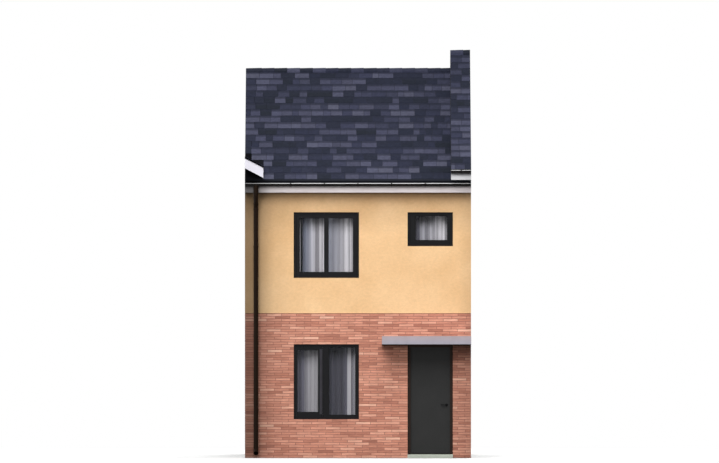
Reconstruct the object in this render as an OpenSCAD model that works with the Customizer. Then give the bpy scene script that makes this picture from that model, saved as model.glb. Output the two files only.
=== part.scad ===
// Mid-terrace house: brick ground floor, rendered upper floor, shingle roof.
// Millimetres. Origin at the middle of the plan, at ground level.
// +X runs to the right along the front, the front faces -Y, +Z is up.

/* [House] */
// Width over the outer faces of the two party walls
house_w = 4460; // [4200:10:5400]
// Depth from the front wall face to the rear wall face
house_d = 7000; // [6000:50:8000]
// Thickness of the front and rear walls
wall_t = 300; // [260:5:340]
// Thickness of each party wall
party_t = 250; // [200:5:280]
// Height of the line where brick changes to render
brick_h = 2860; // [2600:10:3100]

/* [Floors] */
// Height of the ground floor above the ground outside
floor_h = 70; // [50:5:90]
// Height of the upper floor surface
upper_floor_h = 2700; // [2650:10:2900]
// Thickness of the upper floor with its ceiling below
upper_floor_t = 250; // [150:10:300]
// Distance of the upper ceiling's underside below the shingle edge at the eaves
ceiling_drop = 400; // [350:10:520]
// Thickness of the upper ceiling
ceiling_t = 100; // [80:5:140]

/* [Roof] */
// Slope of the roof in degrees
pitch = 30; // [26:1:34]
// Height of the shingle edge at the eaves
eave_h = 5500; // [5300:10:5900]
// Reach of the shingle edge beyond the wall face
eave_out = 310; // [260:5:400]
// Thickness of rafters and deck together, square to the slope
roof_t = 150; // [120:5:170]
// Thickness of deck and shingles together at an open edge
deck_t = 30; // [20:1:40]
// Reach of the shingle edge beyond the fascia
shingle_lap = 50; // [30:1:60]
// Length of each leg of the folded ridge shingles
ridge_leg = 150; // [110:5:200]
// Thickness of the folded ridge shingles
ridge_t = 12; // [8:1:20]

/* [Eaves] */
// Thickness of the fascia boards
fascia_t = 25; // [18:1:30]
// Distance of the main fascias' lower edge below the shingle edge
fascia_drop = 267; // [240:1:290]
// Thickness of the soffit boards
soffit_t = 12; // [9:1:18]
// Distance of a soffit above the lower edge of its fascia
soffit_lift = 12; // [8:1:20]

/* [Raised verge] */
// Width of the raised roof strip over the right party wall
verge_w = 395; // [340:5:460]
// Height of the raised strip above the main roof
verge_rise = 350; // [260:10:420]
// Reach of the raised shingle edge beyond the wall face
verge_out = 590; // [500:10:640]
// Distance of the raised fascias' lower edge below their shingle edge
verge_fascia_drop = 205; // [190:1:225]
// Thickness of the raised strip's shingles and underlay at an open edge
verge_deck_t = 12; // [8:1:14]
// Thickness of the cheek boards at the sides of the strip
cheek_t = 20; // [15:1:30]

/* [Left verge return] */
// Reach of the return to the right of the left party face
return_w = 365; // [300:5:450]
// Slope of the return in degrees
return_pitch = 27.5; // [24:0.5:30]
// Distance of the bargeboard's lower corner above the main shingle edge
return_up = 23; // [20:1:60]
// Reach of the bargeboard's face beyond the wall face
return_out = 455; // [420:5:520]
// Height of the bargeboard, measured plumb
bargeboard_h = 197; // [160:1:230]
// Thickness of the bargeboard
bargeboard_t = 25; // [18:1:30]
// Reach of the return's shingle edge beyond the bargeboard
return_lap = 15; // [8:1:25]

/* [Rainwater goods] */
// Outer radius of the half-round gutter
gutter_r = 58; // [50:1:62]
// Thickness of the gutter's wall
gutter_t = 3; // [2:0.5:4]
// Radius of the rolled bead on the gutter's front edge
bead_r = 9; // [5:0.5:10]
// Distance of the main gutters' rims below the shingle edge
gutter_drop = 86; // [60:1:100]
// Distance of the raised gutters' rims below their shingle edge
verge_gutter_drop = 15; // [15:1:40]
// Distance between gutter brackets
bracket_pitch = 663; // [500:1:900]
// Width of a gutter bracket
bracket_w = 25; // [18:1:35]
// Thickness of a gutter bracket
bracket_t = 4; // [3:0.5:6]
// Gap between two lengths of gutter or pipe
length_gap = 0.5; // [0.3:0.1:0.9]
// Outer radius of the downpipe
pipe_r = 45; // [34:1:46]
// Thickness of the downpipe's wall
pipe_t = 3; // [2:0.5:4]
// Thickness of the socket walls outside the pipe
socket_t = 4; // [3:0.5:6]
// Length of a socket
socket_l = 45; // [30:1:50]
// Distance of the downpipe's axis from the left party face
pipe_x = 218; // [160:2:300]
// Gap between the downpipe and the wall
pipe_gap = 30; // [20:1:45]
// Radius of the bends' centre lines
bend_r = 90; // [75:1:110]
// Angle of the bends in degrees
bend_a = 50; // [40:1:60]
// Distance of the swan neck's top below the fascia
neck_drop = 24; // [15:1:40]
// Step in the bore where a socket begins
socket_step = 1; // [0.5:0.5:2]
// Height of the downpipe's lowest straight end
pipe_foot_h = 190; // [170:5:240]
// Number of pipe clips
clips = 3; // [2:1:5]
// Distance of the lowest clip above the downpipe's lowest straight end
clip_foot = 430; // [250:10:800]
// Distance of the highest clip below the swan neck
clip_head = 770; // [300:10:1000]
// Height of a pipe clip's band
clip_band = 32; // [20:1:45]

/* [Front openings] */
// Distance from the left party face to the large windows
window_x = 962; // [700:2:1100]
// Width of the large windows
window_w = 1288; // [1200:2:1400]
// Distance of the ground floor window's head below the first floor's ceiling
ground_head_drop = 207; // [150:1:300]
// Height of the ground floor window
ground_window_h = 1482; // [1300:2:1500]
// Distance of the upper windows' heads below the shingle edge
upper_head_drop = 654; // [600:1:800]
// Height of the large upper window
upper_window_h = 1296; // [1150:2:1400]
// Height of the small upper window
small_window_h = 669; // [600:1:760]
// Distance from the right party wall's inner face to the door and the small window
door_side = 108; // [100:2:160]
// Width of the door opening and of the small window
door_w = 894; // [860:1:920]
// Height of the head of the door opening
door_head_h = 2239; // [2150:1:2300]

/* [Window frames] */
// Depth of a window frame
frame_d = 70; // [60:1:90]
// Distance of a window frame behind the wall face
frame_set = 45; // [20:1:80]
// Width of the raised rim round a window frame
rim_w = 55; // [45:1:60]
// Step from the rim back to the inner members
rim_step = 12; // [6:1:20]
// Bevel on the rim and on the beads
bevel = 6; // [3:1:8]
// Width of a glazing bead
bead_w = 12; // [8:1:14]
// Thickness of a sealed glass unit
glass_t = 24; // [20:1:28]
// Distance of the glass behind the inner members' face
glass_set = 16; // [12:1:20]
// Width of the inner members beside the upper panes
inner_w = 53; // [40:1:60]
// Width of the mullion between the upper panes
upper_mullion_w = 67; // [50:1:90]
// Widths beside the small pane: left, right, below, above
small_inner = [93, 47, 55, 12];
// Width of the ground window's mullion
ground_mullion_w = 128; // [90:1:140]
// Width of the bay that holds the sliding sash
sash_bay_w = 517; // [480:1:540]
// Widths of the sliding sash: left, right, below, above
sash_members = [8, 81, 80, 50];
// Widths beside the fixed ground pane: right, below
fixed_inner = [8, 24];
// Clearance round the sliding sash
sash_gap = 1; // [0.5:0.5:3]

/* [Doors] */
// Width of a door frame member
jamb_w = 44; // [36:1:70]
// Distance of a door frame behind the wall face
jamb_set = 40; // [20:1:80]
// Projection of the stop over the leaf's edge
stop_w = 14; // [10:1:18]
// Depth of the stop
stop_d = 38; // [30:1:45]
// Gap between a leaf and its frame, stop and threshold
leaf_gap = 5; // [5:0.5:6]
// Thickness of a door leaf
leaf_t = 44; // [40:1:50]
// Height of the threshold strip above the floor
threshold_h = 10; // [6:1:15]
// Height of the lever handle
lever_h = 1045; // [950:5:1100]
// Distance of the spindle from the leaf's free edge
lever_edge = 76; // [60:1:80]
// Length of the lever from its spindle
lever_l = 112; // [95:1:125]
// Radius of the lever's grip
lever_r = 9; // [7:0.5:11]
// Distance of the lever's axis from the leaf's face
lever_out = 48; // [40:1:60]
// Radius of the spindle where it turns in the roses
spindle_r = 8; // [6:0.5:10]
// Radial clearance of the spindle in its roses
spindle_gap = 0.05; // [0.02:0.01:0.1]
// Radial clearance of the spindle in the leaf
spindle_room = 1; // [0.5:0.5:3]
// Chamfer on the ends of the lever's grip
lever_bevel = 2; // [1:0.5:4]
// Radius of the roses round the spindle
rose_r = 26; // [22:1:30]
// Thickness of the roses
rose_t = 8; // [5:0.5:12]
// Radius of a hinge pin
pin_r = 4; // [3:0.5:5]
// Radial clearance of a hinge pin in the turning knuckle
pin_gap = 0.05; // [0.02:0.01:0.1]
// Radius of a hinge knuckle
knuckle_r = 7; // [6:0.5:8]
// Length of the middle hinge knuckle
knuckle_l = 40; // [30:1:50]
// Thickness of a hinge plate
plate_t = 2; // [1.5:0.1:2.2]
// Width of a hinge plate along the leaf's edge
plate_w = 30; // [24:1:36]
// Gap of a hinge knuckle to its neighbours and to the leaf
knuckle_gap = 0.5; // [0.3:0.1:1]
// Number of hinges on a leaf
hinges = 3; // [2:1:4]
// Distance of the lowest hinge's middle above the floor
hinge_foot = 230; // [150:5:300]
// Distance of the highest hinge's middle below the head of the opening
hinge_head = 239; // [160:1:320]
// Height of the steps outside the doors
step_h = 62; // [40:1:65]
// Length of the steps out from the wall
step_out = 300; // [200:10:400]

/* [Canopy] */
// Reach of the canopy to the left of the door opening
canopy_side = 505; // [400:5:600]
// Thickness of the canopy slab
canopy_t = 166; // [120:2:180]
// Projection of the canopy slab from the wall
canopy_out = 700; // [500:10:900]
// Width of the drip groove under the canopy
drip_w = 14; // [10:1:20]
// Depth of the drip groove
drip_d = 8; // [5:1:12]
// Distance of the drip groove from the canopy's edges
drip_in = 40; // [30:1:60]

/* [Curtains] */
// Thickness of a hanging curtain over its pleats
curtain_t = 70; // [50:1:90]
// Gap between the inner wall face and a curtain
curtain_gap = 25; // [15:1:40]
// Height of a curtain track
track_t = 22; // [15:1:30]
// Reach of a curtain track past each side of its window
track_over = 90; // [60:1:100]
// Height of a curtain track above its window's head
track_up = 60; // [40:1:100]
// Reach of a curtain below its window's sill
curtain_drop = 120; // [60:5:200]
// Widths of the ground floor curtains: left and right
ground_curtains_w = [570, 680];

/* [Hidden] */

// Overlap that keeps two cuts from sharing a face
cut = 1;
// Gap between pieces that seat on each other along a slope
seat_gap = 0.3;

half_d = house_d / 2;
left_x = -house_w / 2;
right_x = house_w / 2;
inner_d = half_d - wall_t;
inner_left = left_x + party_t;
inner_right = right_x - party_t;

// The main roof: its ridge and the plumb depths of its layers
ridge_h = eave_h + (half_d + eave_out) * tan(pitch);
roof_v = roof_t / cos(pitch);
deck_v = deck_t / cos(pitch);
verge_deck_v = verge_deck_t / cos(pitch);
verge_left = right_x - verge_w;
verge_eave_h = eave_h + verge_rise - (verge_out - eave_out) * tan(pitch);

// Heights that follow the eaves and the floors
ceiling_h = eave_h - ceiling_drop;
fascia_h = eave_h - fascia_drop;
gutter_h = eave_h - gutter_drop;
return_h = eave_h + return_up;
verge_fascia_h = verge_eave_h - verge_fascia_drop;
verge_gutter_h = verge_eave_h - verge_gutter_drop;
upper_head_h = eave_h - upper_head_drop;
ground_sill_h = upper_floor_h - upper_floor_t - ground_head_drop - ground_window_h;

win_left = left_x + window_x;
door_right = inner_right - door_side;
door_left = door_right - door_w;
upper_sill_h = upper_head_h - upper_window_h;
small_sill_h = upper_head_h - small_window_h;

// Each window is [left edge, sill height, width, height]
ground_window = [win_left, ground_sill_h, window_w, ground_window_h];
upper_window = [win_left, upper_sill_h, window_w, upper_window_h];
small_window = [door_left, small_sill_h, door_w, small_window_h];

// Each bay or pane is [left, bottom, width, height] within its window
pane_w = (window_w - 2 * (rim_w + inner_w) - upper_mullion_w) / 2;
pane_edge = rim_w + inner_w;
upper_panes = [for (i = [0, 1])
    [pane_edge + i * (pane_w + upper_mullion_w), pane_edge,
     pane_w, upper_window_h - 2 * pane_edge]];
small_panes = [[rim_w + small_inner[0], rim_w + small_inner[2],
                door_w - 2 * rim_w - small_inner[0] - small_inner[1],
                small_window_h - 2 * rim_w - small_inner[2] - small_inner[3]]];
sash_bay = [rim_w, rim_w, sash_bay_w, ground_window_h - 2 * rim_w];
sash_size = [sash_bay_w - 2 * sash_gap, sash_bay[3] - 2 * sash_gap];
sash_pane = [rim_w + sash_gap + sash_members[0], rim_w + sash_gap + sash_members[2],
             sash_size[0] - sash_members[0] - sash_members[1],
             sash_size[1] - sash_members[2] - sash_members[3]];
fixed_left = rim_w + sash_bay_w + ground_mullion_w - bead_w;
fixed_pane = [fixed_left, rim_w + fixed_inner[1],
              window_w - rim_w - fixed_inner[0] - fixed_left,
              ground_window_h - 2 * rim_w - fixed_inner[1]];

// The front leaf: hung on the left, opening into the house
leaf_left = door_left + jamb_w + leaf_gap;
leaf_right = door_right - jamb_w - leaf_gap;
leaf_foot = floor_h + threshold_h + leaf_gap;
leaf_head = door_head_h - jamb_w - leaf_gap;
leaf_out = half_d - jamb_set - stop_d - leaf_gap;
leaf_in = leaf_out - leaf_t;
jamb_d = stop_d + leaf_gap + leaf_t;
spindle_x = leaf_right - lever_edge;
pin_x = leaf_left - leaf_gap / 2;
pin_y = leaf_in - knuckle_r - knuckle_gap;
hinge_low = floor_h + hinge_foot;
hinge_pitch = (door_head_h - hinge_head - hinge_low) / (hinges - 1);

// Half-round gutters hang on the fascias
fascia_back = half_d + eave_out - shingle_lap - fascia_t;
verge_fascia_back = half_d + verge_out - shingle_lap - fascia_t;
gutter_y = fascia_back + fascia_t + gutter_r;
verge_gutter_y = verge_fascia_back + fascia_t + gutter_r;
pipe_axis_x = left_x + pipe_x;
pipe_wall_y = half_d + pipe_gap + pipe_r;
neck_top = fascia_h - neck_drop;

// Height of the roof's upper surface at a distance from the ridge line
function roof_top(y, lift = 0) = ridge_h + lift - abs(y) * tan(pitch);

// Draws a plan-depth and height outline and runs it along X
module along_x(x0, x1) {
    translate([x0, 0, 0]) rotate([90, 0, 90]) linear_extrude(x1 - x0) children();
}

// Draws a width and height outline and runs it along Y
module along_y(y0, y1) {
    translate([0, y1, 0]) rotate([90, 0, 0]) linear_extrude(y1 - y0) children();
}

// Puts a piece drawn at the rear, where Y is positive, on the front
module on_front() {
    mirror([0, 1, 0]) children();
}

// A plain block between two corners
module block(a, b) {
    translate(a) cube(b - a);
}

// A layer of one slope from the ridge out to a place, between two plumb depths
module layer_outline(lift, edge, from_v, to_v) {
    polygon([
        [0, roof_top(0, lift) - from_v], [edge, roof_top(edge, lift) - from_v],
        [edge, roof_top(edge, lift) - to_v], [0, roof_top(0, lift) - to_v]
    ]);
}

// One slope: shingled deck that runs out over the fascia, and rafters that stop behind it
module slope_outline(lift, out, back, edge_v) {
    layer_outline(lift, half_d + out, 0, edge_v);
    layer_outline(lift, back, edge_v + seat_gap, roof_v);
}

// Height of the top of a wall under the roof
function wall_top(y, lift = 0) = roof_top(y, lift) - roof_v - seat_gap;

// Part of a long wall that reaches up to the underside of the roof
module wall_outline(y0, y1, z0, lift = 0) {
    polygon([[y0, z0], [y1, z0], [y1, wall_top(y1, lift)], [y0, wall_top(y0, lift)]]);
}

// A party wall with its gable
module party_outline(lift) {
    polygon([
        [-inner_d, 0], [inner_d, 0], [inner_d, wall_top(inner_d, lift)],
        [0, wall_top(0, lift)], [-inner_d, wall_top(inner_d, lift)]
    ]);
}

// The hole of a window, [left, sill, width, height], through a long wall
module window_hole(w) {
    block([w[0], inner_d - cut, w[1]], [w[0] + w[2], half_d + cut, w[1] + w[3]]);
}

// A long wall's brick part between two places along the front
module brick_wall(x0, x1, z0 = 0) {
    block([x0, inner_d, z0], [x1, half_d, brick_h]);
}

// A long wall's rendered part, higher where it meets the raised party wall
module render_wall() {
    difference() {
        union() {
            along_x(left_x, inner_right) wall_outline(inner_d, half_d, brick_h);
            along_x(inner_right, right_x) wall_outline(inner_d, half_d, brick_h, verge_rise);
        }
        window_hole(upper_window);
        window_hole(small_window);
    }
}

// One roof slope, notched round the raised party wall
module roof_slope() {
    difference() {
        along_x(left_x, right_x) slope_outline(0, eave_out, fascia_back, deck_v);
        block([inner_right, -cut, eave_h - roof_v], [right_x + cut, half_d, ridge_h + cut]);
    }
}

// Folded shingles over a ridge
module ridge_fold(x0, x1, lift) {
    reach = ridge_leg * cos(pitch);
    low = roof_top(reach, lift);
    top = roof_top(0, lift);
    rise = ridge_t / cos(pitch);
    translate([0, 0, seat_gap]) along_x(x0, x1) polygon([
        [0, top], [reach, low], [reach, low + rise],
        [0, top + rise], [-reach, low + rise], [-reach, low]
    ]);
}

// A fascia board whose top follows the underside of the deck
module fascia(x0, x1, z0, back, lift, edge_v) {
    front = back + fascia_t;
    under = edge_v + seat_gap;
    along_x(x0, x1) polygon([
        [back, z0], [front, z0],
        [front, roof_top(front, lift) - under], [back, roof_top(back, lift) - under]
    ]);
}

// A cheek board between the main roof and the raised strip
module cheek(x0, from_y) {
    soffit_top = verge_fascia_h + soffit_lift + soffit_t;
    edge = half_d + eave_out;
    under = verge_rise - roof_v - seat_gap;
    along_x(x0, x0 + cheek_t) polygon([
        [from_y, roof_top(from_y, seat_gap)], [from_y, roof_top(from_y, under)],
        [verge_fascia_back, roof_top(verge_fascia_back, under)],
        [verge_fascia_back, soffit_top], [edge, soffit_top],
        [edge, roof_top(edge, seat_gap)]
    ]);
}

// Cross-section of a half-round gutter with a rolled bead, rim at height 0
module gutter_outline() {
    difference() {
        circle(gutter_r, $fn = 48);
        circle(gutter_r - gutter_t, $fn = 48);
        translate([-gutter_r - cut, 0]) square([2 * (gutter_r + cut), gutter_r + cut]);
    }
    translate([gutter_r - bead_r, 0]) circle(bead_r, $fn = 24);
}

// The solid half disc that closes a gutter's end
module gutter_end_outline() {
    intersection() {
        circle(gutter_r, $fn = 48);
        translate([-gutter_r, -gutter_r]) square([2 * gutter_r, gutter_r]);
    }
}

// The strap of a bracket under the gutter, with its plate on the fascia and its hook
// over the bead
module bracket_outline() {
    outer_r = gutter_r + bracket_t;
    difference() {
        circle(outer_r, $fn = 48);
        circle(gutter_r, $fn = 48);
        translate([-outer_r - cut, 0]) square([2 * (outer_r + cut), outer_r + cut]);
        translate([-outer_r - cut, -outer_r - cut]) square([bracket_t + cut, outer_r + cut]);
    }
    translate([-gutter_r, -outer_r]) square([bracket_t, outer_r]);
    translate([gutter_r - bead_r, 0]) difference() {
        circle(bead_r + bracket_t, $fn = 24);
        circle(bead_r, $fn = 24);
        translate([-outer_r, -outer_r]) square([2 * outer_r, outer_r]);
    }
}

// A gutter between two places, with closed ends, in lengths that meet at every second
// bracket
module gutter(x0, x1, y, z) {
    middle = (x0 + x1) / 2;
    side = max(0, floor((x1 - x0 - bracket_pitch) / (2 * bracket_pitch)));
    brackets = [for (i = [-side : side]) middle + i * bracket_pitch];
    joints = [for (i = [1 : 2 : 2 * side - 1]) brackets[i] + bracket_w / 2];
    starts = concat([x0], [for (j = joints) j + length_gap]);
    ends = concat(joints, [x1]);
    translate([0, y, z]) {
        for (i = [0 : len(joints)]) along_x(starts[i], ends[i]) gutter_outline();
        along_x(x0, x0 + gutter_t) gutter_end_outline();
        along_x(x1 - gutter_t, x1) gutter_end_outline();
        for (x = brackets)
            along_x(x - bracket_w / 2, x + bracket_w / 2) bracket_outline();
    }
}

// Length of a swan neck between its two bends for a given sideways offset
function neck_run(offset) = (offset - 2 * bend_r * (1 - cos(bend_a))) / sin(bend_a);

// A straight tube downwards between two radii, then what follows it
module tube(r0, r1, l) {
    translate([0, 0, -l]) {
        difference() {
            cylinder(h = l, r = r1);
            translate([0, 0, -cut]) cylinder(h = l + 2 * cut, r = r0);
        }
        children();
    }
}

// A socket that joins two lengths of pipe, then what follows it
module socket(l) {
    tube(pipe_r - pipe_t + socket_step, pipe_r + socket_t, l) children();
}

// A plain length of pipe, then what follows it
module plain_pipe(l) {
    tube(pipe_r - pipe_t, pipe_r, l) children();
}

// A bend towards the wall, or away from it where way is -1, then what follows it
module bend(way) {
    translate([0, -way * bend_r, 0]) rotate([-90, 0, way * 90])
        rotate_extrude(angle = bend_a) translate([bend_r, 0]) difference() {
            circle(pipe_r);
            circle(pipe_r - pipe_t);
        }
    translate([0, -way * bend_r * (1 - cos(bend_a)), -bend_r * sin(bend_a)])
        rotate([-way * bend_a, 0, 0]) children();
}

// The spigot below the gutter, its top shaped to the gutter's bowl
module outlet() {
    top = gutter_h - gutter_r / 2;
    difference() {
        translate([pipe_axis_x, gutter_y, top]) socket(top - neck_top);
        along_x(pipe_axis_x - 2 * pipe_r, pipe_axis_x + 2 * pipe_r)
            translate([gutter_y, gutter_h]) circle(gutter_r, $fn = 48);
    }
}

// A clip round the pipe, fixed to the wall
module pipe_clip(z) {
    to_wall = half_d - pipe_wall_y;
    translate([pipe_axis_x, pipe_wall_y, z]) difference() {
        union() {
            cylinder(h = clip_band, r = pipe_r + bracket_t);
            block([-bracket_w / 2, to_wall, 0], [bracket_w / 2, 0, clip_band]);
            block([-pipe_r, to_wall, 0], [pipe_r, to_wall + bracket_t, clip_band]);
        }
        translate([0, 0, -cut]) cylinder(h = clip_band + 2 * cut, r = pipe_r - pipe_t / 2);
    }
}

// The downpipe with its outlet, swan neck, shoe and clips
module downpipe() {
    run = neck_run(gutter_y - pipe_wall_y);
    neck_foot = neck_top - 2 * bend_r * sin(bend_a) - run * cos(bend_a);
    straight = neck_foot - pipe_foot_h;
    clip_low = pipe_foot_h + clip_foot;
    clip_pitch = (neck_foot - clip_head - clip_low) / (clips - 1);
    outlet();
    translate([pipe_axis_x, gutter_y, neck_top])
        bend(1) socket(socket_l) plain_pipe(run - 2 * socket_l) socket(socket_l)
        bend(-1) socket(socket_l) translate([0, 0, -length_gap])
        plain_pipe(straight - 2 * socket_l - length_gap) socket(socket_l)
        bend(-1) socket(pipe_r);
    for (i = [0 : clips - 1]) pipe_clip(clip_low + i * clip_pitch);
}

// One side of a frame: a depth and width section cut to mitres at both ends
module mitred_rail(l, s, d) {
    intersection() {
        along_x(0, l) children();
        along_y(-cut, d + cut) polygon([[0, 0], [l, 0], [l - s, s], [s, s]]);
    }
}

// Four mitred sides round a rectangle, section drawn as depth and width
module mitred_frame(w, h, s, d) {
    for (m = [0, 1]) {
        translate([0, 0, m * h]) mirror([0, 0, m]) mitred_rail(w, s, d) children();
        translate([m * w, 0, 0]) mirror([m, 0, 0]) mirror([1, 0, -1])
            mitred_rail(h, s, d) children();
    }
}

// Section of a member that is s wide and d deep, bevelled at its inner front edge
module bevelled_section(s, d) {
    polygon([[0, 0], [d, 0], [d, s], [bevel, s], [0, s - bevel]]);
}

// Glazing beads round a pane, in front of the glass
module beads(pane, depth) {
    translate([pane[0], 0, pane[1]]) mitred_frame(pane[2], pane[3], bead_w, depth)
        bevelled_section(bead_w, depth);
}

// A window frame drawn with its outer face at Y 0 and its depth towards +Y
module frame_unit(w, h, holes, glazed) {
    mitred_frame(w, h, rim_w, frame_d) bevelled_section(rim_w, frame_d);
    translate([0, rim_step, 0]) {
        difference() {
            block([rim_w, 0, rim_w], [w - rim_w, frame_d - rim_step, h - rim_w]);
            for (p = holes)
                block([p[0], -cut, p[1]], [p[0] + p[2], frame_d, p[1] + p[3]]);
        }
        for (p = glazed) beads(p, glass_set);
    }
}

// The glass of a window's panes
module glass_unit(panes) {
    for (p = panes)
        block([p[0], rim_step + glass_set, p[1]],
              [p[0] + p[2], rim_step + glass_set + glass_t, p[1] + p[3]]);
}

// The sliding sash of the ground floor window
module sash_unit() {
    depth = frame_d - 2 * rim_step;
    translate([0, rim_step, 0]) {
        difference() {
            block([rim_w + sash_gap, 0, rim_w],
                  [rim_w + sash_gap + sash_size[0], depth, rim_w + sash_gap + sash_size[1]]);
            block([sash_pane[0], -cut, sash_pane[1]],
                  [sash_pane[0] + sash_pane[2], depth + cut, sash_pane[1] + sash_pane[3]]);
        }
        beads(sash_pane, glass_set);
    }
}

// Places a window unit in the front wall
module in_front(w) {
    translate([w[0], frame_set - half_d, w[1]]) children();
}

// Places a window unit in the rear wall, facing out
module in_rear(w) {
    mirror([0, 1, 0]) in_front(w) children();
}

// A door frame with its outer stop, drawn at the rear
module door_frame() {
    y1 = half_d - jamb_set;
    y0 = y1 - jamb_d;
    foot = floor_h;
    head = door_head_h;
    inner_l = door_left + jamb_w;
    inner_r = door_right - jamb_w;
    difference() {
        block([door_left, y0, foot], [door_right, y1, head]);
        block([inner_l, y0 - cut, foot - cut], [inner_r, y1 - stop_d, head - jamb_w]);
        block([inner_l + stop_w, y0 - cut, foot - cut],
              [inner_r - stop_w, y1 + cut, head - jamb_w - stop_w]);
    }
    block([inner_l, leaf_in, foot], [inner_r, y1, foot + threshold_h]);
}

// A plain door leaf, drawn at the rear
module leaf_slab() {
    block([leaf_left, leaf_in, leaf_foot], [leaf_right, leaf_out, leaf_head]);
}

// The round grip of a lever, chamfered at both ends, from its spindle towards -X
module lever_grip() {
    l = lever_l + lever_r;
    translate([lever_r, 0, 0]) rotate([0, -90, 0]) rotate_extrude() polygon([
        [0, 0], [lever_r - lever_bevel, 0], [lever_r, lever_bevel],
        [lever_r, l - lever_bevel], [lever_r - lever_bevel, l], [0, l]
    ]);
}

// Lever handles on both sides of a leaf, joined by their spindle
module lever_set() {
    span = leaf_t + 2 * lever_out;
    translate([spindle_x, leaf_in - lever_out, lever_h]) {
        rotate([-90, 0, 0]) cylinder(h = span, r = spindle_r);
        for (y = [0, span]) translate([0, y, 0]) lever_grip();
    }
}

// Roses on both faces of a leaf, with a hole of radius r
module roses(r) {
    for (y = [leaf_in - rose_t, leaf_out]) translate([spindle_x, y, lever_h])
        rotate([-90, 0, 0]) difference() {
            cylinder(h = rose_t, r = rose_r);
            translate([0, 0, -cut]) cylinder(h = rose_t + 2 * cut, r = r);
        }
}

// The step outside a door, drawn at the rear
module door_step() {
    difference() {
        block([door_left, half_d, 0], [door_right, half_d + step_out, step_h]);
        translate([0, half_d + step_out, step_h]) rotate([45, 0, 0])
            block([door_left - cut, -bevel, -bevel], [door_right + cut, bevel, bevel]);
    }
}

// A curtain of a given place and width that hangs from its track
module curtain(w, x0, x1) {
    block([x0, inner_d - curtain_gap - curtain_t, w[1] - curtain_drop],
          [x1, inner_d - curtain_gap, w[1] + w[3] + track_up]);
}

// The track over a window, fixed to the inner face of the wall
module track(w) {
    block([w[0] - track_over, inner_d - curtain_gap - curtain_t, w[1] + w[3] + track_up],
          [w[0] + w[2] + track_over, inner_d, w[1] + w[3] + track_up + track_t]);
}

// Two curtains drawn across a window, meeting in its middle
module closed_pair(w) {
    middle = w[0] + w[2] / 2;
    curtain(w, w[0] - track_over, middle - sash_gap);
    curtain(w, middle + sash_gap, w[0] + w[2] + track_over);
}

module ground_floor_slab() color("gray") {
    block([inner_left, -inner_d, 0], [inner_right, inner_d, floor_h]);
    for (y = [-half_d, inner_d])
        block([door_left, y, 0], [door_right, y + wall_t, floor_h]);
}

module front_brick_wall() color("indianred") on_front() difference() {
    brick_wall(left_x, door_left);
    window_hole(ground_window);
}

module front_brick_pier() color("indianred") on_front() brick_wall(door_right, right_x);

module front_brick_over_door() color("indianred") on_front()
    brick_wall(door_left, door_right, door_head_h);

module front_render_wall() color("burlywood") on_front() render_wall();

module rear_brick_wall() color("indianred") difference() {
    brick_wall(left_x, right_x);
    window_hole(ground_window);
    block([door_left, inner_d - cut, -cut], [door_right, half_d + cut, door_head_h]);
}

module rear_render_wall() color("burlywood") render_wall();

module left_party_wall() color("lightgray") along_x(left_x, inner_left) party_outline(0);

module right_party_wall() color("lightgray")
    along_x(inner_right, right_x) party_outline(verge_rise);

module first_floor() color("tan")
    block([inner_left, -inner_d, upper_floor_h - upper_floor_t],
          [inner_right, inner_d, upper_floor_h]);

module upper_ceiling() color("white")
    block([inner_left, -inner_d, ceiling_h], [inner_right, inner_d, ceiling_h + ceiling_t]);

module front_roof_slope() color("darkslategray") on_front() roof_slope();

module rear_roof_slope() color("darkslategray") roof_slope();

module ridge_caps() color("slategray") {
    ridge_fold(left_x, verge_left, 0);
    ridge_fold(verge_left, right_x, verge_rise);
}

module raised_verge_roof() color("darkslategray")
    along_x(verge_left, right_x) for (m = [0, 1]) mirror([m, 0])
        slope_outline(verge_rise, verge_out, verge_fascia_back, verge_deck_v);

module raised_verge_boards() color("gainsboro") for (m = [0, 1]) mirror([0, m, 0]) {
    soffit_z = verge_fascia_h + soffit_lift;
    meet_y = (ridge_h + seat_gap - soffit_z) / tan(pitch);
    fascia(verge_left, right_x, verge_fascia_h, verge_fascia_back, verge_rise, verge_deck_v);
    block([verge_left, min(half_d + eave_out, meet_y), soffit_z],
          [right_x, verge_fascia_back, soffit_z + soffit_t]);
    cheek(verge_left, 0);
    cheek(right_x - cheek_t, half_d);
}

module raised_verge_gutters() color("dimgray") for (m = [0, 1]) mirror([0, m, 0])
    gutter(verge_left, right_x, verge_gutter_y, verge_gutter_h);

// The return's outline above its lower edge, thick measured plumb
module return_outline(bottom, thick) {
    rise = return_w * tan(return_pitch);
    polygon([
        [left_x, bottom + rise], [left_x + return_w, bottom],
        [left_x + return_w, bottom + thick], [left_x, bottom + rise + thick]
    ]);
}

module left_verge_return() color("darkslategray") on_front() difference() {
    deck_z = return_h + bargeboard_h;
    top = deck_z + return_w * tan(return_pitch) + deck_v;
    back = (ridge_h - top) / tan(pitch) - cut;
    union() {
        along_y(back, half_d + return_out + return_lap) return_outline(deck_z, deck_v);
        along_y(back, half_d + return_out - bargeboard_t)
            return_outline(return_h + soffit_lift, bargeboard_h - soffit_lift);
    }
    along_x(left_x - cut, left_x + return_w + cut) polygon([
        [0, 0], [half_d + eave_out, 0], [half_d + eave_out, eave_h + seat_gap],
        [0, ridge_h + seat_gap]
    ]);
}

module left_bargeboard() color("white") on_front()
    along_y(half_d + return_out - bargeboard_t, half_d + return_out)
        return_outline(return_h, bargeboard_h);

module fascias() color("gainsboro") for (m = [0, 1]) mirror([0, m, 0])
    fascia(left_x, right_x, fascia_h, fascia_back, 0, deck_v);

module soffits() color("gainsboro") for (m = [0, 1]) mirror([0, m, 0])
    block([left_x, half_d, fascia_h + soffit_lift],
          [right_x, fascia_back, fascia_h + soffit_lift + soffit_t]);

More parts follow.
